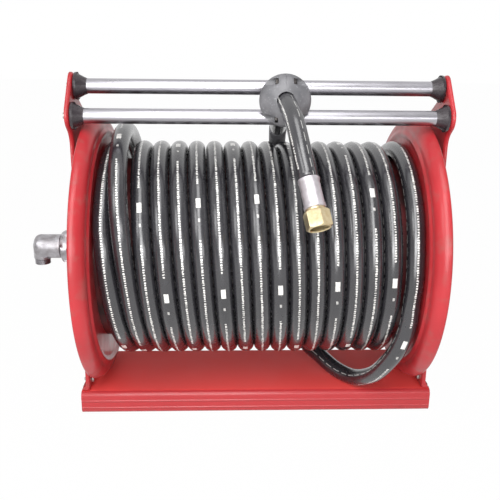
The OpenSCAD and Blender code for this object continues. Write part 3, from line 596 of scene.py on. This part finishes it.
# Nickel over a sand casting: dull, with a soft uneven skin that blurs what it mirrors
nickel_plate = worked_finish("nickel_plated_casting", "#a5a2a6", 0.34, 1.0, ("#8f8a8c", "#b6b4b8"),
                             patch=(14, 3), rough=(9, 0.26, 0.46, 5), skin=(2.4, 5, 0.10))

# %% Metals of the hose's end
# Brass: pale where it was just machined, yellower where it has tarnished
brass = worked_finish("machined_brass", "#d6c69f", 0.34, 1.0, ("#cdb98d", "#e0d2ae"),
                      patch=(6, 6), rough=(5, 0.28, 0.4, 4), skin=(0.8, 4, 0.02))
clothe(brass, "left_bearing_bush", "right_bearing_bush", "hose_nipple")
# Crimped steel: brushed to a satin, so it shows light and shade and no reflections
satin_steel = worked_finish("crimped_satin_steel", "#c9c3c7", 0.5, 1.0, ("#bcb6ba", "#d8d3d7"),
                            patch=(12, 5), rough=(6, 0.45, 0.56, 3), skin=(1.2, 5, 0.02))

# %% [markdown]
# ## Nylon and rubber
# Moulded nylon has a slight sheen and a fine sparked texture from its mould. The hose stop
# is moulded rubber that has weathered to grey, with a pale bloom and rubbed spots.

# %% Nylon, stop rubber and seal rubber
# Nylon: the spark-eroded mould's 0.9 mm grain spreads its sheen
nylon = worked_finish("moulded_black_nylon", "#2e282c", 0.28, 0.0, ("#272125", "#383034"),
                      patch=(20, 3), rough=(8, 0.22, 0.34, 3), skin=(0.9, 3, 0.04), IOR=1.53)
# Stop rubber: the bloom makes it pale and dull, and rubbing paler still
stop_rubber = worked_finish("weathered_moulded_rubber", "#6b6b6d", 0.5, 0.0, ("#5c5c5f", "#7b7a7d"),
                            patch=(26, 6), rough=(10, 0.34, 0.56, 5), skin=(1.6, 5, 0.08),
                            Specular_IOR_Level=0.5)
layered(stop_rubber, (drift(stop_rubber, 4, detail=6, edges=(0.6, 0.72)), "#8d8c8f"))
# Seals: plain black, hardly seen
seal_rubber = worked_finish("moulded_nitrile_seal", "#17171a", 0.5, 0.0, ("#131315", "#26262a"),
                            patch=(3, 3), rough=None, skin=(0.8, 3, 0.02))
clothe(seal_rubber, "swivel_seals", "nut_washer")
print("finishes:", sum(1 for m in bpy.data.materials if m.use_nodes))

# %% [markdown]
# ## Discs
# A drum disc is pressed from 3 mm sheet. Its edge turns outward through a quarter circle
# into a rolled bead, a ring is pressed near it to stiffen it, and six short ribs stand out
# on its outer face. The section is turned, and the ribs are then raised by moving the
# points of the outer skin, as the press does.

# %% Section of a disc
DISC_R, RIM_R, SHEET, BEAD_R = 285, 25, 3, 3.5
HOLE_R, RING_AT = 31, 248


def arc(centre_r, centre_h, radius, first, last, count):
    angles = [math.radians(first + (last - first) * i / count) for i in range(count + 1)]
    return [(centre_r + radius * math.cos(a), centre_h + radius * math.sin(a)) for a in angles]


def ring_lift(r):
    """How far the pressed ring stands proud of the inner face."""
    return 4.0 * (1 - ease(0, 11, abs(r - RING_AT)))


inner_skin = [(HOLE_R, 0), (80, 0), (150, 0), (200, 0)] + [(r, -ring_lift(r)) for r in range(232, 261, 2)]
inner_skin += arc(DISC_R - RIM_R, RIM_R, RIM_R, -84, 0, 14)
bead = arc(DISC_R - BEAD_R, RIM_R, BEAD_R, 20, 200, 10)
outer_skin = arc(DISC_R - RIM_R, RIM_R, RIM_R - SHEET, -6, -84, 12)
outer_skin += [(r, SHEET - ring_lift(r)) for r in range(258, 236, -2)]
outer_skin += [(r, SHEET) for r in range(236, 152, -3)] + [(120, SHEET), (80, SHEET), (HOLE_R, SHEET)]
disc_section = inner_skin + bead + outer_skin + [inner_skin[0]]
print("points in the disc's section:", len(disc_section))

# %% Discs
# Where the ribs start and end, half their width, their height and the angle between them
RIB_IN, RIB_OUT, RIB_HALF, RIB_LIFT, RIB_STEP = 165, 228, 9.0, 4.0, 60
# Inner faces of the discs, out from the middle
LEFT_FACE, RIGHT_FACE = 321, 313


def pressed_disc(name, x, way):
    """A disc with its inner face at x and its rim turned the given way along X."""
    disc = turned(name, disc_section, steps=240)
    for vertex in disc.data.vertices:
        r, h = math.hypot(vertex.co.x, vertex.co.y) / MM, vertex.co.z / MM
        if h > SHEET - 0.1 and 150 < r < 240:
            angle = math.degrees(math.atan2(vertex.co.y, vertex.co.x))
            off = math.radians(angle % RIB_STEP - RIB_STEP / 2) * r
            past = max(RIB_IN - r, r - RIB_OUT, 0)
            vertex.co.z += RIB_LIFT * (1 - ease(RIB_HALF - 6, RIB_HALF, math.hypot(off, past))) * MM
    placed(disc, name, (x, 0, AXIS_Z), (way, 0, 0))
    return smoothed(disc, 50)


for side, x, way in (("left", -LEFT_FACE, -1), ("right", RIGHT_FACE, 1)):
    fit(pressed_disc(side + "_drum_disc", x, way), "drum", red_enamel, side + "_disc", slot="red_paint")

# %% [markdown]
# ## Pedestals
# Each pedestal is one sheet: an outline of straight lines between round corners, with its
# edge turned outward all round and flaring out at the foot. The outline is the same belt
# round seven circles as in the CAD model. A ring of points is laid on it and carried
# inward and outward, which gives the bend its true radius.

# %% Outline of a pedestal
# Inner face of the web, the edge's reach and its reach at the foot, top of the base
WEB_IN, FLANGE_X, FOOT_X, BASE_H = 363, 371, 380, 52
# The rollers' axes
LOWER_Y, UPPER_Y = -114, -70
LOWER_Z, UPPER_Z = 640, 694
corners = [(-99, BASE_H + 6, 6), (100, BASE_H + 6, 6), (26, UPPER_Z - 114, 48), (-26, UPPER_Z - 12, -16),
           (UPPER_Y, UPPER_Z, 26.5), (LOWER_Y, LOWER_Z, 26), (LOWER_Y - 33, LOWER_Z - 58, -40)]


def belt(inset):
    """Points round the corners, each corner's circle smaller by the inset."""
    def leaving(p, q):
        d = (q[0] - p[0], q[1] - p[1])
        return math.atan2(d[1], d[0]) - math.acos((p[2] - q[2]) / math.hypot(*d))
    points = []
    for i, (y, z, r) in enumerate(corners):
        first = leaving(corners[i - 1], corners[i])
        sweep = leaving(corners[i], corners[(i + 1) % len(corners)]) - first
        sweep -= math.tau * math.floor((sweep + math.pi) / math.tau)
        for j in range(13):
            a = first + sweep * j / 12
            points.append((y + (r - inset) * math.cos(a), z + (r - inset) * math.sin(a)))
    return points


def closer(points, like):
    """Splits the straight stretches, so that the flare at the foot comes out round."""
    result = []
    for i, (p, l) in enumerate(zip(points, like)):
        q, m = points[(i + 1) % len(points)], like[(i + 1) % len(like)]
        far = math.hypot(m[0] - l[0], m[1] - l[1])
        count = max(1, round(far / (3 if min(l[1], m[1]) < BASE_H + 30 and abs(m[1] - l[1]) > 5 else 30)))
        result += [(p[0] + (q[0] - p[0]) * k / count, p[1] + (q[1] - p[1]) * k / count) for k in range(count)]
    return result


def reach(z):
    """How far the turned edge stands out at a height."""
    flare = 20
    if z >= BASE_H + flare:
        return FLANGE_X
    return min(FOOT_X, FLANGE_X + flare - math.sqrt(flare ** 2 - (BASE_H + flare - z) ** 2))


outline = belt(0)
print("points round a pedestal:", len(closer(outline, outline)))

# %% Pedestals
BEND = 6.0


def pedestal(name, way):
    laps = []
    for step in range(7):
        a = math.radians(90 * step / 6)
        lap = closer(belt(BEND * (1 - math.sin(a))), outline)
        laps.append([(WEB_IN + BEND * (1 - math.cos(a)), y, z) for y, z in lap])
    edge = closer(outline, outline)
    for part in (0.25, 0.5, 0.75, 1.0):
        laps.append([(WEB_IN + BEND + (reach(z) - WEB_IN - BEND) * part, y, z) for y, z in edge])
    deselect()
    bpy.ops.mesh.primitive_circle_add(vertices=len(edge), radius=0.1, fill_type="NGON")
    obj = bpy.context.object
    for vertex, spot in zip(obj.data.vertices, laps[0]):
        vertex.co = Vector(spot) * MM
    for lap in laps[1:]:
        opened(obj, "DESELECT")
        bpy.ops.mesh.select_mode(type="EDGE")
        bpy.ops.mesh.select_non_manifold()
        bpy.ops.mesh.extrude_edges_move()
        bpy.ops.object.mode_set(mode="OBJECT")
        fresh_points = [v for v in obj.data.vertices if v.select]
        for vertex, spot in zip(fresh_points, lap):
            vertex.co = Vector(spot) * MM
    shape = bmesh.new()
    shape.from_mesh(obj.data)
    bmesh.ops.recalc_face_normals(shape, faces=shape.faces)
    web = max(shape.faces, key=lambda f: f.calc_area())
    if web.normal.x > 0:
        bmesh.ops.reverse_faces(shape, faces=shape.faces)
    shape.to_mesh(obj.data)
    shape.free()
    changed(obj, "SOLIDIFY", thickness=SHEET * MM, offset=-1)
    carve(obj, turned("seat_tool", [(0, -4), (34, -4), (34, 8), (0, 8)], 64, (WEB_IN, 0, AXIS_Z), (1, 0, 0)))
    if way < 0:
        opened(obj)
        bpy.ops.transform.mirror(constraint_axis=(True, False, False), center_override=(0, 0, 0))
        bpy.ops.mesh.normals_make_consistent(inside=False)
        bpy.ops.object.mode_set(mode="OBJECT")
    obj.name = obj.data.name = name
    return softened(obj, 0.7, 2, 55)


for side, way in (("left", -1), ("right", 1)):
    fit(pedestal(side + "_pedestal_sheet", way), "frame", red_enamel, side + "_pedestal", slot="red_paint")

# %% [markdown]
# ## Guide rollers
# Each roller is a drawn tube on a fixed rod, with a moulded nylon bush pressed into either
# end. The bush widens in a cone and ends in a rounded rim close to the pedestal, so that
# the hose can't catch there. It is a turned form.

# %% Roller bushes
TUBE_HALF, BUSH_R, TUBE_R, ROD_R = 338, 26.4, 14.5, 6
BUSH_L = WEB_IN - 0.8 - TUBE_HALF
cone = [(TUBE_R + 0.4, 0.1), (TUBE_R + 0.8, 1.0), (17.4, 6), (20.6, 12)]
bush_section = ([(ROD_R + 0.1, -18), (12.6, -18), (12.9, -16), (12.9, 0.1)] + cone
                + arc(BUSH_R - 3.4, BUSH_L - 6.0, 3.4, 50, 0, 5)
                + arc(BUSH_R - 2.6, BUSH_L - 2.7, 2.6, 0, 88, 5)
                + [(20, BUSH_L - 0.4), (16, BUSH_L - 1.6), (9, BUSH_L - 1.6), (ROD_R + 0.1, BUSH_L - 1.6),
                   (ROD_R + 0.1, -18)])


def bush_pair(name, y, z):
    ends = [smoothed(turned(name + "_end", bush_section, 72, (way * TUBE_HALF, y, z), (way, 0, 0)))
            for way in (-1, 1)]
    return joined(name, ends)


for side, y, z in (("upper", UPPER_Y, UPPER_Z), ("lower", LOWER_Y, LOWER_Z)):
    fit(bush_pair(side + "_bush_pair", y, z), side + "_roller", nylon, side + "_roller_bushes",
        slot="black_nylon")

# %% [markdown]
# ## Nuts and bolts
# A real hexagon has its corners turned off at 30 degrees, which draws the curved lines on
# its flats. Cutting a hexagon bar with a turned cone gives exactly those lines, so one
# helper makes every hexagon here, from the small frame bolts to the brass end nut.


# %% Hexagons
def hexagon(name, across, height, chamfer=1.0, hole=0.0, both=False):
    """A hexagon along Z from 0 to its height, its top corners turned off."""
    deselect()
    corner = across / 2 / math.cos(math.radians(30))
    bpy.ops.mesh.primitive_cylinder_add(vertices=6, radius=corner * MM, depth=height * MM,
                                        location=(0, 0, height / 2 * MM))
    obj = placed(bpy.context.object, name)
    face_r = across / 2 * 0.97
    drop = (corner - face_r) * 0.5 * chamfer
    low = ([(0, 0), (face_r, 0), (corner + 0.1, drop)] if both else [(0, -1), (corner + 1, -1)])
    cone_tool = turned("cone_tool", low + [(corner + 0.1, height - drop), (face_r, height), (0, height)], 72)
    carve(obj, cone_tool, "INTERSECT")
    if hole:
        carve(obj, turned("hole_tool", [(0, -1), (hole, -1), (hole, height + 1), (0, height + 1)], 48))
    return obj


# Across the flats, head's height and washer face's radius, for a bolt of radius 1
FLATS, HEAD_H, FACE_R = 3.25, 1.4, 1.55


def bolt_head(name, r, shank):
    """A bolt's head on z = 0, with its shank going down."""
    face = [(0, -0.01), (FACE_R * r, -0.01), (FACE_R * r, 0.3), (0, 0.3)]
    stem = [(0, -shank), (r - 0.6, -shank), (r - 0.05, 0.8 - shank), (r - 0.05, 0.2), (0, 0.2)]
    return joined(name, [smoothed(softened(hexagon(name, FLATS * r, HEAD_H * r), 0.25, 2, 50)),
                         smoothed(turned(name + "_face", face, 40)),
                         smoothed(turned(name + "_shank", stem, 32))])


def nut(name, r, height):
    """A nut on z = 0, chamfered on both sides, with its bolt's end showing."""
    body = smoothed(softened(hexagon(name, FLATS * r, height, hole=r, both=True), 0.2, 2, 50))
    ridges = [(r - 0.35 * (i % 2), height - 1 + 0.5 * i) for i in range(7)]
    end = [(0, height - 1)] + ridges + [(r - 1.0, height + 2.4), (0, height + 2.4)]
    return joined(name, [body, smoothed(turned(name + "_end", end, 32), 60)])


def aimed(x, y, z, way, turn=0.0):
    """Matrix in millimetres that lays a piece's Z along X, one way or the other."""
    aim = Vector((way, 0, 0)).to_track_quat("Z", "Y").to_matrix().to_4x4()
    return Matrix.Translation((x, y, z)) @ aim @ Matrix.Rotation(math.radians(turn), 4, "Z")


def spread_out(name, model, places):
    """One object made of copies of a model, each from its own mesh. The model is removed."""
    copies, scale = [], Matrix.Scale(MM, 4)
    for place in places:
        copies.append(model.copy())
        copies[-1].data = model.data.copy()
        bpy.context.scene.collection.objects.link(copies[-1])
        copies[-1].data.transform(scale @ place @ scale.inverted())
    bpy.data.objects.remove(model)
    return joined(name, copies)


def round_axis(count, ring, x, way, first=0.0):
    """Places for bolts round the drum's axis."""
    return [aimed(x, ring * math.cos(a), AXIS_Z + ring * math.sin(a), way, 17 * i)
            for i, a in enumerate(math.radians(first) + math.tau * i / count for i in range(count))]


# %% Bolts on the bearing seats and hubs
# Outer face of the web, the seat on it, and the plates under the left and right hub bolts
WEB_OUT, SEAT_T, LEFT_PLATE, RIGHT_PLATE = WEB_IN + SHEET, 10, 8, 12
# Radius of an M8 bolt
M8 = 4
for name, way, ring, count, first, x, body in (
        ("housing_bolt", -1, 51, 4, 45, WEB_OUT + SEAT_T, "frame"),
        ("arbor_bolt", 1, 51, 4, 45, WEB_OUT + SEAT_T, "frame"),
        ("left_hub_bolt", -1, 60, 6, 0, LEFT_FACE + SHEET + LEFT_PLATE, "drum"),
        ("right_hub_bolt", 1, 60, 6, 0, RIGHT_FACE + SHEET + RIGHT_PLATE, "drum")):
    places = round_axis(count, ring, way * x, way, first)
    heads = spread_out(name + "_heads", bolt_head("bolt_model", M8, 21), places)
    if body == "drum":
        inner = LEFT_FACE if way < 0 else RIGHT_FACE
        places = round_axis(count, ring, way * inner, -way, first)
        nuts = spread_out(name + "_nuts", nut("nut_model", M8, 6.5), places)
        heads = joined(name + "_heads", [heads, nuts])
    fit(heads, body, zinc_plate, name + "s", slot="zinc_steel")

# %% Nuts on the roller rods and bolts in the feet
rod_places = [aimed(way * WEB_OUT, y, z, way, 11)
              for way in (-1, 1) for y, z in ((UPPER_Y, UPPER_Z), (LOWER_Y, LOWER_Z))]
fit(spread_out("rod_nuts", nut("rod_nut_model", ROD_R, 9), rod_places), "frame", zinc_plate,
    "roller_rod_nuts", slot="zinc_steel")
# Height of the bolts through the web, how far out those in the base are, and an M5's radius
WEB_BOLT_Z, BASE_BOLT_X, M5 = BASE_H + 19, 374.5, 2.5
web_places = [aimed(way * WEB_IN, y, WEB_BOLT_Z, -way, 9) for way in (-1, 1) for y in (-82, 82)]
base_turn = Matrix.Rotation(math.radians(30), 4, "Z")
base_places = [Matrix.Translation((way * BASE_BOLT_X, y, BASE_H + 6)) @ base_turn
               for way in (-1, 1) for y in (-58, 58)]
web_bolts = spread_out("web_bolts", bolt_head("web_bolt_model", M8, 15), web_places)
base_bolts = spread_out("base_bolts", bolt_head("base_bolt_model", M5, 17), base_places)
fit(joined("foot_bolt_set", [web_bolts, base_bolts]), "frame", zinc_plate, "foot_bolts", slot="zinc_steel")

# %% [markdown]
# ## Swivel inlet
# Water comes in through a plated elbow that turns on the drum's shaft. It was cast: its
# body is round, its corners are full, and its skin is slightly uneven. Two turned solids
# are joined and remade as one skin of small faces, which rounds the seam between them.

# %% Elbow
# The body's reach, radius and round far edge, then the leg's radius and place
ELBOW_NEAR, ELBOW_FAR, ELBOW_R, ELBOW_EDGE = 426, 486, 26.3, 13
LEG_R, LEG_X, LEG_Z = 18.3, 471.5, 323
# Radii of the socket for the shaft and of the waterway
SOCKET_R, WATER_R = 24.3, 12.5
elbow_length = ELBOW_FAR - ELBOW_NEAR
body_section = [(0, 1), (ELBOW_R - 1.5, 1), (ELBOW_R, 2.5)]
body_section += arc(ELBOW_R - ELBOW_EDGE, elbow_length - ELBOW_EDGE, ELBOW_EDGE, 0, 90, 8)
body_section += [(0, elbow_length)]
elbow = turned("cast_elbow", body_section, 72, (-ELBOW_NEAR, 0, AXIS_Z), (-1, 0, 0))
leg_section = [(0, 0)] + arc(LEG_R - 1.5, 1.5, 1.5, -90, 0, 3) + [(LEG_R, 30)]
leg_section += arc(2, 30, LEG_R - 2, 0, 90, 6)
carve(elbow, turned("leg", leg_section, 72, (-LEG_X, 0, LEG_Z)), "UNION")
changed(elbow, "REMESH", mode="VOXEL", voxel_size=1.1 * MM)
changed(elbow, "SMOOTH", factor=0.5, iterations=10)
socket_section = [(0, -2), (SOCKET_R, -2), (SOCKET_R, 24), (WATER_R, 28), (0, 28)]
carve(elbow, turned("shaft_tool", socket_section, 64, (-ELBOW_NEAR, 0, AXIS_Z), (-1, 0, 0)))
carve(elbow, turned("water_tool", [(0, -3), (WATER_R, -3), (WATER_R, 26), (0, 26)], 48, (-LEG_X, 0, LEG_Z)))
smoothed(elbow, 50)

# %% Thread under the elbow
# One-inch pipe thread: 11 to the inch, 2.3 mm from crest to crest
pitch_mm, crest, root, THREAD_Z = 2.3, 16.55, 15.3, 311
thread_section = [(13, 0.1), (root, 0.1)]
for turn_count in range(5):
    height = 0.7 + turn_count * pitch_mm
    thread_section += [(crest, height + 0.5), (crest, height + 1.0),
                       (root, height + 1.6), (root, height + 1.9)]
thread_section += [(root, 13.5), (13, 13.5), (13, 0.1)]
thread = smoothed(turned("inlet_thread", thread_section, 64, (-LEG_X, 0, THREAD_Z)), 20)
fit(joined("cast_elbow", [elbow, thread]), "inlet", nickel_plate, "inlet_elbow", slot="nickel")

# %% Swivel nut
# Middle to corner, length and the side near the pedestal
NUT_CORNER, NUT_L, NUT_NEAR = 36, 17.8, 408
swivel_flats = NUT_CORNER * 2 * math.cos(math.radians(30))
swivel = softened(hexagon("swivel_nut_hex", swivel_flats, NUT_L, 1.2, SOCKET_R, True), 0.5, 2, 50)
placed(swivel, "swivel_nut_hex", (-NUT_NEAR, 0, AXIS_Z), (-1, 0, 0), math.radians(30))
fit(swivel, "inlet", nickel_plate, "swivel_nut", slot="nickel")

# %% [markdown]
# ## Hose end
# A steel ferrule is crimped round the hose over a brass tube. The press jaws leave eight
# flats with rounded ridges between them, and a plain lip at either end. A brass nut turns
# freely on the tube's collar and takes the nozzle.

# %% Ferrule
# Its radius and length, how deep it is pressed, and its bores over the hose and the tube
FERRULE_R, FERRULE_L, PRESSED, GRIP_R, TUBE_BORE = 19.4, 55, 0.9, 17.7, 12.4
ferrule_section = [(GRIP_R, 0), (FERRULE_R - 0.8, 0), (FERRULE_R, 0.8), (FERRULE_R, 5)]
ferrule_section += [(FERRULE_R - PRESSED, h) for h in (7.5, 12, 18, 24, 30, 36, 42, 46.5)]
ferrule_section += [(FERRULE_R, 49), (FERRULE_R, 53.8), (FERRULE_R - 1.2, FERRULE_L)]
ferrule_section += [(TUBE_BORE, FERRULE_L), (TUBE_BORE, 50), (GRIP_R, 48), (GRIP_R, 0)]
ferrule = turned("crimped_ferrule", ferrule_section)
for vertex in ferrule.data.vertices:
    r, h = math.hypot(vertex.co.x, vertex.co.y) / MM, vertex.co.z / MM
    if r > 18 and 7 < h < 47:
        angle = math.atan2(vertex.co.y, vertex.co.x)
        press = 0.3 * (0.5 - 0.5 * math.cos(8 * angle)) ** 0.6
        vertex.co.xy *= (r - press) / r
placed(ferrule, "crimped_ferrule", END_AT, END_DIR)
smoothed(ferrule, 30)
fit(ferrule, "frame", satin_steel, "hose_ferrule", slot="satin_steel")

# %% Brass end nut
# The tube's collar, the nut across its flats and the nut's length
COLLAR, END_FLATS, END_NUT_L = 4, 41, 32
nut_at = END_AT + (FERRULE_L + COLLAR) * END_DIR
end_nut = hexagon("brass_end_nut", END_FLATS, END_NUT_L, 1.5, 0, True)
mouth_section = [(0, -1), (12.5, -1), (12.5, 5), (17.2, 5), (17.2, 13.5)]
for turn_count in range(7):
    height = 14 + turn_count * pitch_mm
    mouth_section += [(16.6, height), (16.6, height + 0.8), (17.4, height + 1.2), (17.4, height + 1.9)]
mouth_section += [(16.6, 30.6), (18.2, 33), (0, 33)]
carve(end_nut, turned("mouth_tool", mouth_section, 64))
softened(end_nut, 0.35, 2, 50)
placed(end_nut, "brass_end_nut", nut_at, END_DIR, math.radians(8))
fit(end_nut, "end_nut", brass, "hose_nut", slot="brass")

# %% [markdown]
# ## Hose stop
# A rubber ball in two halves is clamped on the hose so that it can't run back through the
# rollers. It is a short dome with a rounded back edge. Bolts in deep pockets hold the
# halves together, and a thin gap shows where they meet.

# %% Stop halves
# The stop's middle, radius, half length and dome radius
STOP_AT, STOP_R, STOP_HALF, DOME = Vector((43, -147, 673)), 49, 18, 62
# Radius of its back edge and of the pockets, half the gap, and the bolts' seat and height
BACK_EDGE, POCKET_R, HALF_GAP, SEAT_X, BOLT_UP = 10, 7.8, 0.12, 14, 33
dome_at = 2 * STOP_HALF - DOME
rim_h = dome_at + math.sqrt(DOME ** 2 - (STOP_R - 3) ** 2)
rim_angle = math.degrees(math.asin((rim_h - dome_at) / DOME))
stop_section = [(GRIP_R, 0.8), (GRIP_R + 0.8, 0)]
stop_section += arc(STOP_R - BACK_EDGE, BACK_EDGE, BACK_EDGE, -90, 0, 8) + [(STOP_R, rim_h - 5)]
stop_section += arc(0, dome_at, DOME, rim_angle, 74, 14) + [(GRIP_R, dome_at + DOME * 0.956), (GRIP_R, 0.8)]


def stop_half(name, way):
    half = turned(name, stop_section, 96, STOP_AT + Vector((0, STOP_HALF, 0)), (0, -1, 0))
    opened(half)
    bpy.ops.mesh.bisect(plane_co=(STOP_AT + Vector((way * HALF_GAP, 0, 0))) * MM, plane_no=(way, 0, 0),
                        use_fill=True, clear_inner=True)
    bpy.ops.object.mode_set(mode="OBJECT")
    for up in (-1, 1):
        spot = STOP_AT + Vector((way * SEAT_X, 0, up * BOLT_UP))
        pocket = [(0, 0), (POCKET_R, 0), (POCKET_R, 36), (0, 36)]
        carve(half, turned("pocket_tool", pocket, 40, spot, (way, 0, 0)))
    return softened(half, 0.8, 3, 60)


stop_pieces = [fit(stop_half("stop_" + side + "_rubber", way), "frame", stop_rubber,
                   "stop_" + side + "_half", slot="stop_rubber")
               for side, way in (("left", -1), ("right", 1))]
stop_places = [aimed(STOP_AT.x + way * SEAT_X, STOP_AT.y, STOP_AT.z + up * BOLT_UP, way, 12)
               for way in (-1, 1) for up in (-1, 1)]
stop_bolt_set = fit(spread_out("stop_bolt_heads", bolt_head("stop_bolt_model", M8, SEAT_X), stop_places),
                    "frame", dark_steel, "stop_bolts", slot="zinc_steel")

# %% [markdown]
# Where the hose bends in behind the rollers, a ribbed rubber sleeve takes the rubbing. It
# is the hose's own tube builder again, with a thickness that rises and falls along it.

# %% Ribbed sleeve
# Its mean radius, half the height of a rib and the way from rib to rib
SLEEVE_R, RIDGE, RIDGE_STEP = 18.4, 0.9, 6.5 * MM
sleeve_route = [p for p in free_route if p.x < 100 and 470 < p.z < 606 and p.y > 40]
sleeve_route = smooth_curve(sleeve_route, 1.6)
sleeve_out = [Vector((-1, -0.2, 0))] * len(sleeve_route)
sleeve = round_hose("ribbed_sleeve", sleeve_route, sleeve_out,
                    lambda v: SLEEVE_R + RIDGE * math.sin(math.tau * v / RIDGE_STEP))
fit(sleeve, "frame", stop_rubber, slot="hose_rubber")

fit(free_hose, "frame", hose_rubber, "hose_tail", slot="hose_rubber")
length_of(free_route) * MM

# %% [markdown]
# ## Pawl spring
# A small torsion spring of round wire sits on the pawl's pivot. The hose builder makes the
# wire too.

# %% Pawl spring
# The coil's start, its radius and length, its points in a turn and in all, and the wire
COIL_AT, COIL_R, COIL_L = Vector((329, -70, AXIS_Z + 80)), 6, 15.2
COIL_RINGS, COIL_POINTS, WIRE_R = 40, 160, 0.75
coil = [COIL_AT + Vector((i * COIL_L / COIL_POINTS, COIL_R * math.cos(math.tau * i / COIL_RINGS),
                          COIL_R * math.sin(math.tau * i / COIL_RINGS))) for i in range(COIL_POINTS + 1)]
coil_out = [Vector((0, p.y - COIL_AT.y, p.z - COIL_AT.z)) for p in coil]
fit(round_hose("pawl_spring_wire", coil, coil_out, WIRE_R, 8), "frame", dark_steel, "pawl_spring",
    slot="dark_steel")

# %% [markdown]
# ## Floor, backdrop and light
# A pale floor runs to the horizon, and a pale room is round it. To the camera both are
# white. Light Path tells which ray asks, so the white is seen without lighting the reel,
# and the floor still takes its shadow. Reflections see white behind the reel and a grey
# room in front of it. Soft lamps stand where windows would: one high at the front left, a
# tall one in front, a low wide one for the base, and one overhead.

# %% Floor
FLOOR_SIZE, WHITE_SHARE = 60, 0.985


def white_rays(owner, reflected):
    """1 for rays that come from the camera or through glass, and a share for reflected ones."""
    rays = add_node(owner, "LightPath", {}).node.outputs
    glossy = add_node(owner, "Math", {0: rays["Is Glossy Ray"], 1: reflected}, operation="MULTIPLY")
    most = add_node(owner, "Math", {0: rays["Is Camera Ray"], 1: glossy}, operation="MAXIMUM")
    return add_node(owner, "Math", {0: most, 1: rays["Is Transmission Ray"]}, operation="MAXIMUM")


floor_paint = new_finish("matt_white_floor", "#e9e8e6", 0.8)
share = add_node(floor_paint, "Math", {0: white_rays(floor_paint, 1.0), 1: WHITE_SHARE}, operation="MULTIPLY")
glow = add_node(floor_paint, "Emission", {"Color": linear("#ffffff")})
matt = floor_paint.node_tree.nodes["Principled BSDF"].outputs[0]
blend = add_node(floor_paint, "MixShader", {0: share, 1: matt, 2: glow})
floor_paint.node_tree.links.new(blend, floor_paint.node_tree.nodes["Material Output"].inputs["Surface"])

deselect()
bpy.ops.mesh.primitive_plane_add(size=FLOOR_SIZE)
floor = placed(bpy.context.object, "floor", (0, 0, -0.5))
floor.data.materials.append(floor_paint)
floor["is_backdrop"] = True

# %% Room
world = bpy.data.worlds.new("studio")
bpy.context.scene.world = world
world.use_nodes = True
behind = add_node(world, "MapRange", {"Value": facing(world, "Y"), "From Min": 0.45, "From Max": -0.05,
                                      "To Min": 0.3})
room = add_node(world, "Mix", {0: white_rays(world, behind), 6: linear("#8a8b8e"), 7: linear("#ffffff")}, 2,
                data_type="RGBA")
world.node_tree.links.new(room, world.node_tree.nodes["Background"].inputs["Color"])

# %% Lamps
for name, at, target, width, height, watts in (
        ("window_left", (-1.8, -1.7, 1.8), (0, 0, 0.4), 1.0, 1.2, 16),
        ("tall_front", (-0.25, -1.8, 1.25), (0, 0, 0.5), 0.85, 2.3, 34),
        ("low_front", (0.1, -2.0, 0.8), (0, 0, 0.1), 2.0, 0.35, 12),
        ("ceiling", (0, -0.9, 2.4), (0, 0, 0.4), 1.0, 1.2, 14)):
    lamp = bpy.data.lights.new(name, "AREA")
    lamp.shape, lamp.size, lamp.size_y, lamp.energy = "RECTANGLE", width, height, watts
    holder = bpy.data.objects.new(name, lamp)
    bpy.context.scene.collection.objects.link(holder)
    holder.location = at
    holder.visible_camera = False
    holder.rotation_euler = (Vector(target) - Vector(at)).to_track_quat("-Z", "Y").to_euler()
    print(name, "gives", watts, "W")
bpy.context.scene.view_settings.view_transform = "Standard"

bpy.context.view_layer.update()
low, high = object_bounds()
print("visual box in mm:", [round((b - a) / MM) for a, b in zip(low, high)])
